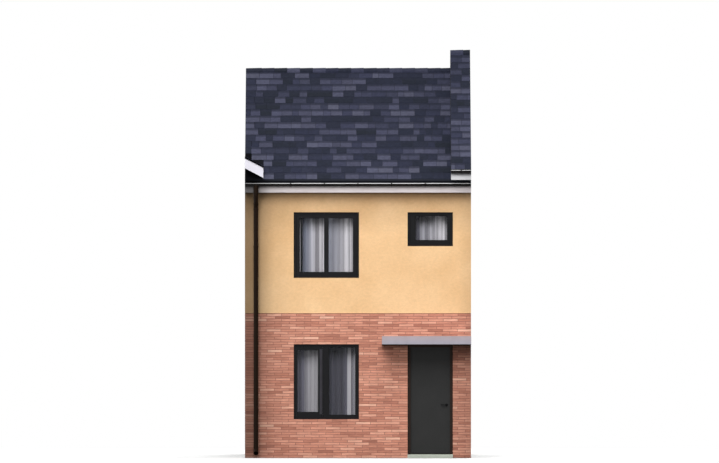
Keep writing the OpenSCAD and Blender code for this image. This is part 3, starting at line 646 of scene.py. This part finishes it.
def concrete_finish(name, colour, warm=None):
    """Smooth concrete. The canopy's turns warmer above its foot and has a dark drip edge."""
    f = Finish(name, roughness=0.8)
    cloud = f.noise(5, 5)
    pores = f.noise(180, 4)
    body = rgb(*colour)
    if warm:
        body = f.mix(f.below(CANOPY_FOOT, *CANOPY_WARMTH), body, rgb(*warm))
        body = f.mix(f.under(2, CANOPY_FOOT + DRIP_EDGE), body, rgb(52, 48, 50))
    body = f.shade(body, (cloud, 0.93, 1.06), (pores, 0.95, 1.04))
    return f.done(body, (cloud, 0.002, 0.2), (pores, 0.001, 0.5))


def curtain_finish(name, dark, light, cool):
    """Woven cloth, from dark to light and towards a cooler colour as its tones say, which hold
    its stripes and painted light. Its third tone is painted shade on the gathers below the track."""
    f = Finish(name, roughness=0.9, specular=0.1, sheen=0.1)
    weave = f.noise(700, 1)
    body = f.mix(f.tone(), rgb(*dark), rgb(*light))
    body = f.mix(f.math("MULTIPLY", f.tone(1), 0.7), body, rgb(*cool), "MULTIPLY")
    body = f.scale(body, f.fit(f.tone(2), 0.0, 1.0, 0.3, 1.0))
    return f.done(f.shade(body, (weave, 0.96, 1.04)), (weave, 0.0004, 0.4))


def timber_finish():
    """Floor boards above, plaster on the underside."""
    f = Finish("floor_boards", roughness=0.6)
    ins = {"Vector": f.place(), "Scale": 1.0, "Mortar Size": 0.002, "Brick Width": 2.4,
           "Row Height": 0.12, "Color1": rgb(168, 128, 90), "Color2": rgb(140, 104, 70),
           "Mortar": rgb(60, 44, 30)}
    boards = f.node("TexBrick", ins).outputs["Color"]
    grain = f.noise(12, 4, (1, 12, 1))
    body = f.shade(boards, (grain, 0.88, 1.1))
    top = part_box("first_floor")[1][2]
    body = f.mix(f.under(2, top - 2 * EDGE), body, PLASTER)
    return f.done(body, (grain, 0.001, 0.3))


def plaster_finish():
    f = Finish("ceiling_plaster", roughness=0.85)
    trowel = f.noise(6, 5)
    return f.done(f.shade(rgb(226, 223, 217), (trowel, 0.97, 1.02)), (trowel, 0.002, 0.2))


def track_finish():
    f = Finish("track_paint", roughness=0.4)
    return f.done(f.shade(rgb(228, 228, 226), (f.noise(20, 3), 0.97, 1.02)))


# Units laid on a face

def outline(rect, cells, slant=(0, 0), inset=0):
    """Points round a unit: along its foot, then back along its head, whose ends are slanted
    inwards."""
    u0, u1, v0, v1 = rect
    foot = [(u, v0 + inset) for u in np.linspace(u0 + inset, u1 - inset, cells + 1)]
    head = [(u, v1 - inset) for u in np.linspace(u1 - slant[1] - inset, u0 + slant[0] + inset,
                                                 cells + 1)]
    return np.array(foot + head)


def add_unit(stock, plane, rect, rise, form, slot=0, tone=(0.5, 0.5), slant=(0, 0)):
    """A brick, block, tab or strip. Its rise is how far its foot and its head stand out, and
    its form is how deep its back lies, its bevel, how uneven it is and its number of cells."""
    depth, bevel, rough, cells = form
    v0, v1 = rect[2:]
    ring = outline(rect, cells, slant)
    inner = outline(rect, cells, slant, bevel)
    wobble = stock.rng.uniform(-rough, rough, ring.shape)
    share = (ring[:, 1] - v0) / (v1 - v0)
    top = rise[0] + (rise[1] - rise[0]) * share
    count = len(ring)
    dents = stock.rng.uniform(-rough, rough, count)
    layers = [
        np.column_stack([ring, np.full(count, -depth)]),
        np.column_stack([ring + wobble, top - bevel]),
        np.column_stack([inner + wobble, top + dents]),
    ]
    faces = [[r * count + k, r * count + (k + 1) % count,
              (r + 1) * count + (k + 1) % count, (r + 1) * count + k]
             for r in range(2) for k in range(count)]
    last = 2 * count
    faces += [[last + i, last + i + 1, last + count - 2 - i, last + count - 1 - i]
              for i in range(cells)]
    tones = np.column_stack([np.tile(tone, (3 * count, 1)), np.tile(share, 3)])
    stock.add(plane.place(np.concatenate(layers)), faces, slot, tones)


# Brick and block

def cut_out(rects, hole):
    """The rectangles without the part that a hole takes, each as u0, u1, v0, v1."""
    left, foot, right, head = hole
    kept = []
    for u0, u1, v0, v1 in rects:
        if right <= u0 or left >= u1 or head <= v0 or foot >= v1:
            kept.append((u0, u1, v0, v1))
            continue
        kept += [(u0, left, v0, v1)] if left > u0 else []
        kept += [(right, u1, v0, v1)] if right < u1 else []
        middle = (max(u0, left), min(u1, right))
        kept += [(*middle, v0, foot)] if foot > v0 else []
        kept += [(*middle, head, v1)] if head < v1 else []
    return kept


def lay_masonry(stock, plane, top, reach, size, holes=()):
    """Courses of bricks or blocks in a running bond. reach gives half the width of the face
    at a height. Holes are cut out, and the units beside them show in the reveals."""
    rng = stock.rng
    pitch, length, joint = size
    gap = joint / 2
    form = (UNIT_DEPTH, joint / 4, joint / 12, UNIT_CELLS)
    edges = {x for hole in holes for x in (hole[0], hole[2])}
    levels = {z for hole in holes for z in (hole[1], hole[3]) if z > 0}

    def cut(place, inwards, at_hole):
        """Where a unit ends: half a joint short of a place, or a little past a hole's edge."""
        return place - inwards * REVEAL_PROUD if at_hole else place + inwards * gap

    for row in range(math.ceil(top / pitch)):
        low, high = row * pitch, min((row + 1) * pitch, top)
        start, end, slant = -reach(low), reach(low), reach(low) - reach(high)
        if end - start < length / 4 or high - low < LEAST_CUT:
            continue
        rects = [(start, end, low, high)]
        for hole in holes:
            rects = cut_out(rects, hole)
        shift = (row % 2) / 2 + rng.uniform(-BOND_SHIFT, BOND_SHIFT)
        joints = [start + (k + shift) * length for k in range(1, int((end - start) / length) + 2)]
        for a, b, v0, v1 in rects:
            if v1 - v0 < LEAST_CUT or b - a < LEAST_CUT:
                continue
            margin = length / 5 + slant
            ends = [a, *[j for j in joints if a + margin < j < b - margin], b]
            for u0, u1 in zip(ends, ends[1:]):
                sides = (u0 if u0 == start else cut(u0, 1, u0 in edges),
                         u1 if u1 == end else cut(u1, -1, u1 in edges),
                         cut(v0, 1, v0 in levels), cut(v1, -1, v1 in levels))
                tone = (np.clip(rng.normal(*COMMON_TONE), 0, PALEST_COMMON), rng.random())
                if rng.random() < PALE_SHARE:
                    tone = (rng.uniform(*PALE_TONES), tone[1])
                slants = (slant if u0 == start else 0, slant if u1 == end else 0)
                add_unit(stock, plane, sides, (0.0, 0.0), form, 1, tone, slants)


def add_backing(stock, node, faces):
    """A CAD node's own faces as the mortar behind, set back on the named faces. Each of them
    is an axis and its place along it."""
    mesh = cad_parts[node].data
    points = points_of(mesh)
    for axis, face in faces:
        on_face = np.abs(points[:, axis] - face) < ON_FACE
        points[on_face, axis] -= math.copysign(MORTAR_SET, face)
    stock.add(points, [list(polygon.vertices) for polygon in mesh.polygons])


def lay_brickwork(name, nodes, facing, seed, materials):
    """The brick storey of the front (facing -1) or rear (facing 1) wall, ends included."""
    stock = Stock(seed)
    face = FRONT if facing < 0 else REAR
    for node in nodes:
        add_backing(stock, node, [(1, face), (0, LEFT), (0, RIGHT)])
    holes = []
    for left, foot, right, head in (DOOR, GROUND_WINDOW):
        start, end = sorted((-facing * left, -facing * right))
        holes.append((start, foot, end, head))
    plane = Plane((0, face, 0), (-facing, 0, 0))
    lay_masonry(stock, plane, BRICK_TOP, lambda level: RIGHT, BRICK, holes)
    outer = REAR - UNIT_DEPTH
    half = (outer - INNER_REAR) / 2
    for side in (-1, 1):
        end = Plane((side * RIGHT, facing * (outer - half), 0), (0, side, 0))
        lay_masonry(stock, end, BRICK_TOP, lambda level: half, BRICK)
    make_piece(name, stock, materials, nodes)


def lay_party_wall(name, node, side, seed, materials):
    """The blocks of the party wall on the left (side -1) or right (side 1)."""
    stock = Stock(seed)
    face = LEFT if side < 0 else RIGHT
    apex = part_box(node)[1][2]
    add_backing(stock, node, [(0, face)])

    def reach(level):
        return min(INNER_REAR, (apex - level) / math.tan(ROOF_PITCH))

    lay_masonry(stock, Plane((face, 0, 0), (0, side, 0)), apex, reach, BLOCK)
    make_piece(name, stock, materials, [node])


# Roof

def slope_plane(facing, edge, ridge):
    """The top of a slope that falls to the front (facing -1) or rear (facing 1)."""
    foot = (0, facing * edge, ridge - edge * math.tan(ROOF_PITCH))
    up = (0, -facing * math.cos(ROOF_PITCH), math.sin(ROOF_PITCH))
    return Plane(foot, (-facing, 0, 0), up)


def lay_shingles(stock, facing, edge, ridge, start_at, end):
    """Rows of tabs of mixed widths up a slope. edge is how far its foot lies from the middle
    of the house, and start_at gives where a row begins."""
    rng = stock.rng
    plane = slope_plane(facing, edge, ridge)
    for row in range(int(edge / math.cos(ROOF_PITCH) / SHINGLE_PITCH)):
        low = row * SHINGLE_PITCH
        start = start_at(low)
        spot = start - rng.uniform(0, TAB_SIZES[0] / 2)
        family = rng.random()
        while spot < end:
            width = rng.choice(TAB_SIZES, p=TAB_SHARES) + rng.uniform(-TAB_SPREAD, TAB_SPREAD)
            u0, u1 = max(spot, start), spot + width
            if end - u1 < LEAST_TAB:
                u1 = end
            spot = u1
            if rng.random() < NEW_TONE_SHARE:
                family = rng.random()
            drop = rng.uniform(-TAB_DROP, TAB_DROP)
            head = low + SHINGLE_PITCH * SHINGLE_LAP
            rise = (TAB_RISE[0] + rng.uniform(*TAB_UNEVEN), TAB_RISE[1])
            tone = (np.clip(family + rng.normal(0, TONE_SPREAD), 0, 1), rng.random())
            rect = (u0 + TAB_GAP, u1 - TAB_GAP, low + drop, head)
            add_unit(stock, plane, rect, rise, TAB_FORM, 0, tone)


def valley(slope_up):
    """Where the front slope's shingles start, beside the verge return."""
    right = front_box("left_bargeboard")[2]
    back = -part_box("left_verge_return")[1][1]
    out = EAVE_REAR - slope_up * math.cos(ROOF_PITCH)
    run = (out - back) / (back * VALLEY_RUN)
    return LEFT + (right - LEFT) * min(1.0, max(0.0, run))


def lay_roof(name, seed, material, *slopes):
    """Shingles on one or two slopes, each given as for lay_shingles."""
    stock = Stock(seed)
    for slope in slopes:
        lay_shingles(stock, *slope)
    make_piece(name, stock, [material])


def lay_return_roof(name, seed, material):
    """Two rows of shingles on the small slope at the left end, which falls to the right."""
    stock = Stock(seed)
    left, _, right, head = front_box("left_bargeboard")
    (_, front, _), (_, back, _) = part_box("left_verge_return")
    low_edge = head - (right - left) * math.tan(RETURN_SLOPE) + RETURN_DECK
    slope = (right - left) / math.cos(RETURN_SLOPE)
    plane = Plane((right, front, low_edge), (0, 1, 0),
                  (-math.cos(RETURN_SLOPE), 0, math.sin(RETURN_SLOPE)))
    length = back - front
    for share in (0, 0.5):
        foot = share * slope
        spot = 0.0
        while spot < length:
            tab = stock.rng.choice(TAB_SIZES)
            u1 = min(spot + tab, length)
            if u1 < length * (RETURN_TAPER + (1 - RETURN_TAPER) * share):
                tone = (stock.rng.random(), stock.rng.random())
                rect = (spot + RETURN_GAP, u1 - RETURN_GAP, foot, foot + slope / 2)
                add_unit(stock, plane, rect, RETURN_RISE, TAB_FORM, 0, tone)
            spot += tab
    make_piece(name, stock, [material])


def add_cap(stock, ends, ridge, leg, tone):
    """One folded cap on a ridge. Each end is its place, its lift and its spread."""
    rows = []
    for x, lift, spread in ends:
        ys = np.array(CAP_FOLDS) * leg * spread
        slope = ridge - np.maximum(np.abs(ys), CAP_FLAT) * math.tan(ROOF_PITCH)
        under = slope + lift
        under[[0, -1]] = slope[[0, -1]]
        for zs in (under, slope + lift + CAP_THICK):
            rows.append(np.column_stack([np.full(len(ys), x), ys, zs]))
    n = len(CAP_FOLDS)
    faces = [[0, 2 * n, 3 * n, n], [2 * n - 1, 4 * n - 1, 3 * n - 1, n - 1]]
    for k in range(n - 1):
        faces += [[n + k, 3 * n + k, 3 * n + k + 1, n + k + 1],
                  [k, k + 1, 2 * n + k + 1, 2 * n + k],
                  [k, n + k, n + k + 1, k + 1],
                  [2 * n + k, 2 * n + k + 1, 3 * n + k + 1, 3 * n + k]]
    stock.add(np.concatenate(rows), faces, 0, tone)


def fold_caps(name, seed, material):
    """Folded caps along both ridges, each lapping over its neighbour."""
    stock = Stock(seed)
    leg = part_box("ridge_caps")[1][1]
    for x0, x1, ridge, stand in ((LEFT, STRIP_LEFT, RIDGE, CAP_STAND),
                                 (STRIP_LEFT, RIGHT, STRIP_RIDGE, STRIP_CAP_STAND)):
        count = max(1, round((x1 - x0) / CAP_EXPOSED))
        step = (x1 - x0) / count
        for i in range(count):
            start, end = x0 + i * step, min(x0 + (i + 1) * step + CAP_COVER, x1)
            tone = (stock.rng.uniform(*CAP_TONES), stock.rng.random(), CAP_SHARE)
            add_cap(stock, ((start, stand, 1.0), (end, stand + CAP_LIFT, CAP_SPREAD)), ridge,
                    leg, tone)
    make_piece(name, stock, [material], ["ridge_caps"])


# Small parts

def run_stop_bead(name, material):
    """The thin bead that ends the render above the brick, front and rear."""
    stock = Stock()
    rect = (LEFT, RIGHT, -STOP_BEAD_HEIGHT / 2, STOP_BEAD_HEIGHT / 2)
    for facing, face in ((-1, FRONT), (1, REAR)):
        plane = Plane((0, face, BRICK_TOP), (-facing, 0, 0))
        add_unit(stock, plane, rect, STOP_BEAD_RISE, STOP_BEAD_FORM)
    make_piece(name, stock, [material])


def run_shade_strip(name, material):
    """A dark strip on the wall below the canopy, on both sides of the door, that paints the
    canopy's contact shadow.
    """
    stock = Stock()
    plane = Plane((0, FRONT, CANOPY_FOOT), (1, 0, 0))
    for start, end in ((CANOPY_LEFT, DOOR_LEFT), (DOOR_RIGHT, CANOPY_RIGHT)):
        rect = (start, end, -SHADE_STRIP_HEIGHT, 0)
        add_unit(stock, plane, rect, SHADE_STRIP_RISE, SHADE_STRIP_FORM)
    make_piece(name, stock, [material])


def add_interlock(name, material):
    """The slim profile on the sliding sash's stile that hooks over the mullion."""
    stock = Stock()
    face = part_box("ground_window_sash")[0][1]
    _, foot, right, head = front_box("ground_window_sash")
    edge = right - INTERLOCK_INSET
    rect = (edge - INTERLOCK_WIDTH, edge, foot + INTERLOCK_END, head - INTERLOCK_END)
    plane = Plane((0, face, 0), (1, 0, 0))
    add_unit(stock, plane, rect, INTERLOCK_RISE, INTERLOCK_FORM)
    make_piece(name, stock, [material])


def hang_felt(name, material):
    """The strip of underlay that hangs from each eaves into the gutter, over the fascia."""
    stock = Stock()
    (x0, _, _), (x1, face, top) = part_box("fascias")
    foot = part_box("rear_gutter")[1][2] - FELT_HANG
    for facing in (-1, 1):
        plane = Plane((0, facing * face, 0), (-facing, 0, 0))
        add_unit(stock, plane, (x0, x1, foot, top), FELT_RISE, FELT_FORM)
    make_piece(name, stock, [material])


# Curtains

def curtain_points(x0, x1, z0, z1, middle, folds, rng):
    """A gathered sheet that opens out downwards, with its places across (s), its places down
    (t), its wave and the places of its folds."""
    columns = folds * FOLD_COLUMNS
    s = np.linspace(0, 1, columns + 1)
    knots = np.linspace(0, 1, folds + 1)
    drift = np.r_[0, rng.uniform(-FOLD_DRIFT, FOLD_DRIFT, folds - 1), 0] / folds
    sway = np.interp(s, knots, knots + drift)
    depth = np.interp(s, knots, rng.uniform(*FOLD_DEPTH, folds + 1))
    t = np.linspace(0, 1, CURTAIN_ROWS + 1)[:, None]
    phase = 2 * math.pi * folds * s[None, :]
    swing = SWING * np.sin(2 * phase + rng.uniform(0, SWING_PHASE)) * (1 - t)
    ripple = RIPPLE * t * np.sin(RIPPLE_TURNS * math.pi * s[None, :])
    wave = np.sin(phase + swing + ripple)
    open_out = GATHERED + (1 - GATHERED) * t
    y = middle + depth[None, :] * wave * open_out
    lean = np.clip(FOLD_LEAN * np.sin(2 * phase) * open_out, -FOLD_LEAN, FOLD_LEAN)
    x = np.clip(x0 + (x1 - x0) * sway[None, :] + lean, x0, x1)
    z = z1 - (z1 - z0) * t + 0 * s[None, :]
    return np.stack([x, y, z], axis=-1), s, t, wave, knots


def hang_curtain(name, x0, x1, z0, z1, facing, seed, cloth, replaced):
    """A pleated curtain between two places, hung from its track behind a window."""
    stock = Stock(seed)
    rng = stock.rng
    folds = max(2, round((x1 - x0) / FOLD))
    points, s, t, wave, knots = curtain_points(x0, x1, z0, z1, facing * CURTAIN_Y, folds, rng)
    width = len(s)
    columns = width - 1
    faces = [[r * width + c, (r + 1) * width + c, (r + 1) * width + c + 1, r * width + c + 1]
             for r in range(CURTAIN_ROWS) for c in range(columns)]
    material, darkest, lightest, coolest = cloth
    edges = np.cumsum(rng.uniform(*STRIPES, columns))
    light = rng.uniform(darkest, lightest, columns)[np.searchsorted(edges, s * (x1 - x0))]
    # Painted light, lighter towards the curtain's right side.
    light = light * (SIDE_LIGHT[0] + SIDE_LIGHT[1] * s)
    # Painted cool light, cooler towards the curtain's left side.
    spread = rng.uniform(-COOL_SPREAD, COOL_SPREAD)
    cool = coolest * np.clip(COOL_SIDE[0] - COOL_SIDE[1] * s + spread, 0, 1)
    # Painted shade on the gathers below the track, reaching down unevenly.
    reach = HEADING_SHADE * np.interp(s, knots, rng.uniform(*HEADING_SHADE_SPREAD, folds + 1))
    below = t * (z1 - z0) - (reach + HEADING_SHADE_WAVE * wave)
    heading_shade = np.clip(below / (HEADING_SHADE_FADE * HEADING_SHADE), 0, 1)
    # Painted shade in the hollows of the folds.
    light = np.clip(light[None, :] * (FOLD_LIGHT[0] + FOLD_LIGHT[1] * facing * wave), 0, 1)
    tones = np.stack([light, cool[None, :] + 0 * t, heading_shade], axis=-1)
    stock.add(points.reshape(-1, 3), faces, 0, tones.reshape(-1, 3))
    piece = make_piece(name, stock, [material], [replaced])
    piece.data.polygons.foreach_set("use_smooth", [True] * len(faces))


def hang_curtains(voile, shade_cloth):
    """Curtains behind each window: at the front each is given by its edges as lengths from
    the window's left edge, at the rear a pair is drawn across. A cloth comes with the range
    of its stripes, from dark (0) to light (1), and how cool it is."""
    # The ranges also paint how much light each curtain gets, and the second cloth paints curtains
    # in shade.
    bright, sheer = (voile, 0.1, 1.0, 1.0), (voile, 0.4, 0.9, 0.8)
    warm, soft, pale = (voile, 0.25, 1.0, 0.3), (voile, 0.25, 0.45, 0.3), (voile, 0.4, 0.65, 0.2)
    cool, dark = (shade_cloth, 0.6, 1.0, 0.5), (shade_cloth, 0.15, 0.75, 0.3)
    plans = {
        "ground": ("ground_curtains",
                   [(-CURTAIN_LAP, 0.205, cool), (0.205, 0.480, soft),
                    (0.698, 1.050, dark), (1.050, 1.130, pale), (1.132, None, soft)]),
        "large": ("upper_curtains",
                  [(-CURTAIN_LAP, 0.135, bright), (0.175, 0.640, bright), (0.644, None, sheer)]),
        "small": ("upper_curtains",
                  [(-CURTAIN_LAP, 0.240, cool), (0.244, None, warm)]),
    }
    seed = CURTAIN_SEED
    for window, (node, spans) in plans.items():
        left, foot, right, head = WINDOWS[window]
        room = "upper" if window == "large" else window
        low, high = foot - CURTAIN_DROP, head + CURTAIN_RISE
        for i, (start, end, cloth) in enumerate(spans):
            seed += 1
            end = right - left + CURTAIN_LAP if end is None else end
            hang_curtain(f"front_{room}_curtain_{i + 1}", left + start, left + end, low, high,
                         -1, seed, cloth, node)
        middle = (left + right) / 2
        halves = ((left - CURTAIN_LAP, middle - PAIR_GAP),
                  (middle + PAIR_GAP, right + CURTAIN_LAP))
        for i, (start, end) in enumerate(halves):
            seed += 1
            hang_curtain(f"rear_{room}_curtain_{i + 1}", start, end, low, high, 1, seed,
                         bright, "rear_curtains")


# Stage

def lay_floor():
    """A pale floor that keeps the object's shadow and turns white further out."""
    f = Finish("stage_floor", roughness=0.9, specular=0.1)
    rays = f.node("LightPath").outputs
    seen = rays["Is Camera Ray"]
    shown = f.math("MAXIMUM", seen, rays["Is Glossy Ray"])
    material = f.done(f.mix(shown, rgb(120, 120, 118), rgb(244, 244, 244)))
    distance = f.node("VectorMath", {0: f.place()}, operation="LENGTH").outputs["Value"]
    far = f.math("MULTIPLY", f.fit(distance, FLOOR_CLEAR, FLOOR_RADIUS), seen)
    white = f.node("Emission", {"Color": WHITE, "Strength": 1.0}).outputs[0]
    blend = f.node("MixShader", {0: far, 1: f.shader.outputs[0], 2: white}).outputs[0]
    f.feed(f.tree.nodes["Material Output"].inputs["Surface"], blend)
    bpy.ops.mesh.primitive_circle_add(vertices=96, radius=FLOOR_RADIUS, fill_type="NGON",
                                      location=(0, 0, -FLOOR_DROP))
    floor = bpy.context.object
    floor.name = "stage_floor"
    floor.data.materials.append(material)


def light_world():
    """An even light from above, and white where the camera, gloss or glass sees past the
    object."""
    world = bpy.data.worlds.new("studio")
    bpy.context.scene.world = world
    world.use_nodes = True
    n = Nodes(world.node_tree)
    n.tree.nodes.clear()
    rays = n.node("LightPath").outputs
    through = n.math("MAXIMUM", rays["Is Glossy Ray"], rays["Is Transmission Ray"])
    seen = n.math("MAXIMUM", rays["Is Camera Ray"], through)
    spot = n.node("TexCoord").outputs["Generated"]
    height = n.node("SeparateXYZ", {0: spot}).outputs["Z"]
    strength = n.fit(height, -HORIZON, HORIZON, 0.0, AMBIENT)
    ambient = n.node("Background", {"Color": (0.97, 0.985, 1.0, 1), "Strength": strength})
    white = n.node("Background", {"Color": WHITE, "Strength": 1.0})
    mix = n.node("MixShader", {0: seen, 1: ambient.outputs[0], 2: white.outputs[0]})
    n.node("OutputWorld", {"Surface": mix.outputs[0]})


def add_lamp(name, spot, target, size, power):
    """A square soft lamp at a place, aimed at a target."""
    lamp = bpy.data.lights.new(name, "AREA")
    lamp.size = size
    lamp.energy = power
    obj = bpy.data.objects.new(name, lamp)
    bpy.context.scene.collection.objects.link(obj)
    obj.location = spot
    aim = np.array(target, float) - np.array(spot, float)
    aim /= np.linalg.norm(aim)
    obj.rotation_euler = (math.acos(-aim[2]), 0, math.atan2(-aim[0], aim[1]))


def set_camera():
    """A long lens, level, with the photograph's scale on the front wall."""
    camera = bpy.data.objects.new("camera", bpy.data.cameras.new("camera"))
    bpy.context.scene.collection.objects.link(camera)
    camera.data.lens = LENS
    camera.data.sensor_width = SENSOR
    distance = PHOTO_WIDTH / PIXELS_PER_METRE * LENS / SENSOR
    camera.location = (VIEW_X, FRONT - distance, VIEW_Z)
    camera.rotation_euler = (math.pi / 2, 0, 0)
    camera.data.clip_end = distance + CLIP_ROOM
    bpy.context.scene.camera = camera
    bpy.context.scene.view_settings.view_transform = "Standard"


# The house

brick, mortar = brick_finish(), mortar_finish()
block, block_mortar = block_finish(), block_mortar_finish()
render, shingle, felt = render_finish(), shingle_finish(), felt_finish()
pipe, glass, door, handle = pipe_finish(), glass_finish(), door_finish(), handle_finish()
board = board_finish("painted_board", (200, 191, 192), (217, 210, 211), end_shade=True)
# The fascia and the strip's boards carry the painted shadow of their gutters.
fascia = board_finish("fascia_paint", (204, 194, 195), (221, 213, 214), end_shade=True,
                      under="front_gutter", painted_shade=GUTTER_SHADE)
verge_board = board_finish("verge_board_paint", (200, 199, 201), (217, 217, 219), end_shade=True,
                           under="raised_verge_gutters", painted_shade=STRIP_GUTTER_SHADE)
verge_paint = board_finish("verge_paint", (215, 213, 222), (225, 223, 232))
gutter = gutter_finish("gutter_black", "rear_gutter", 0.0012)
strip_gutter = gutter_finish("strip_gutter_black", "raised_verge_gutters", 0.002)
frame_metal = frame_finish("frame_coating", 19, 19, 21)
# A paler copy of the frame coating that paints the highlight along the sash's stile.
interlock_highlight = frame_finish("interlock_highlight_coating", 53, 52, 57)
door_frame = frame_finish("door_frame_coating", 43, 32, 27)
concrete = concrete_finish("step_concrete", (186, 192, 179))
canopy = concrete_finish("canopy_concrete", (171, 166, 177), warm=(182, 165, 168))
voile = curtain_finish("curtain_voile", (118, 113, 118), (244, 237, 241), (160, 176, 206))
# A darker, cooler cloth that paints curtains in shade.
shade_cloth = curtain_finish("curtain_shade_cloth", (30, 29, 33), (128, 124, 138), (180, 190, 220))

for finish, nodes in (
    (concrete, ["ground_floor_slab", "door_steps"]),
    (canopy, ["door_canopy"]),
    (render, ["front_render_wall", "rear_render_wall"]),
    (timber_finish(), ["first_floor"]),
    (plaster_finish(), ["upper_ceiling"]),
    (felt, ["front_roof_slope", "rear_roof_slope", "raised_verge_roof"]),
    (cheek_finish(), ["left_verge_return"]),
    (verge_board, ["raised_verge_boards"]),
    (verge_paint, ["left_bargeboard"]),
    (fascia, ["fascias"]),
    (board, ["soffits"]),
    (gutter, ["front_gutter", "rear_gutter"]),
    (strip_gutter, ["raised_verge_gutters"]),
    (pipe, ["front_downpipe", "rear_downpipe"]),
    (frame_metal, ["ground_window_frame", "ground_window_sash", "upper_window_frames",
                   "rear_window_frames"]),
    (door_frame, ["front_door_frame", "rear_door_frame"]),
    (glass, ["ground_window_glass", "upper_window_glass", "rear_window_glass"]),
    (door, ["front_door_leaf", "rear_door_leaf"]),
    (handle, ["front_door_roses", "front_door_lever"]),
    (hinge_finish(), ["front_door_hinges", "front_door_hinge_plates"]),
    (track_finish(), ["curtain_tracks"]),
):
    for node in nodes:
        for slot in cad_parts[node].material_slots:
            slot.material = finish

lay_brickwork("front_brickwork", ["front_brick_wall", "front_brick_pier",
                                  "front_brick_over_door"], -1, 11, [mortar, brick])
lay_brickwork("rear_brickwork", ["rear_brick_wall"], 1, 12, [mortar, brick])
lay_party_wall("left_party_blocks", "left_party_wall", -1, 13, [block_mortar, block])
lay_party_wall("right_party_blocks", "right_party_wall", 1, 14, [block_mortar, block])
lay_roof("front_shingles", 21, shingle, (-1, EAVE_REAR, RIDGE, valley, STRIP_LEFT))
lay_roof("rear_shingles", 22, shingle, (1, EAVE_REAR, RIDGE, lambda low: -STRIP_LEFT, -LEFT))
lay_roof("raised_strip_shingles", 23, shingle,
         (-1, -STRIP_FRONT, STRIP_RIDGE, lambda low: STRIP_LEFT, RIGHT),
         (1, -STRIP_FRONT, STRIP_RIDGE, lambda low: -RIGHT, -STRIP_LEFT))
lay_return_roof("verge_return_shingles", 24, shingle)
fold_caps("ridge_cap_shingles", 25, shingle)
run_stop_bead("render_stop_bead", render)
# A dark strip standing in for the canopy's contact shadow.
run_shade_strip("canopy_shade_strip", pipe)
add_interlock("sash_interlock", interlock_highlight)
hang_felt("eaves_felt", felt)
hang_curtains(voile, shade_cloth)

lay_floor()
light_world()
for lamp_name, lamp_values in LAMPS.items():
    add_lamp(lamp_name, *lamp_values)
set_camera()
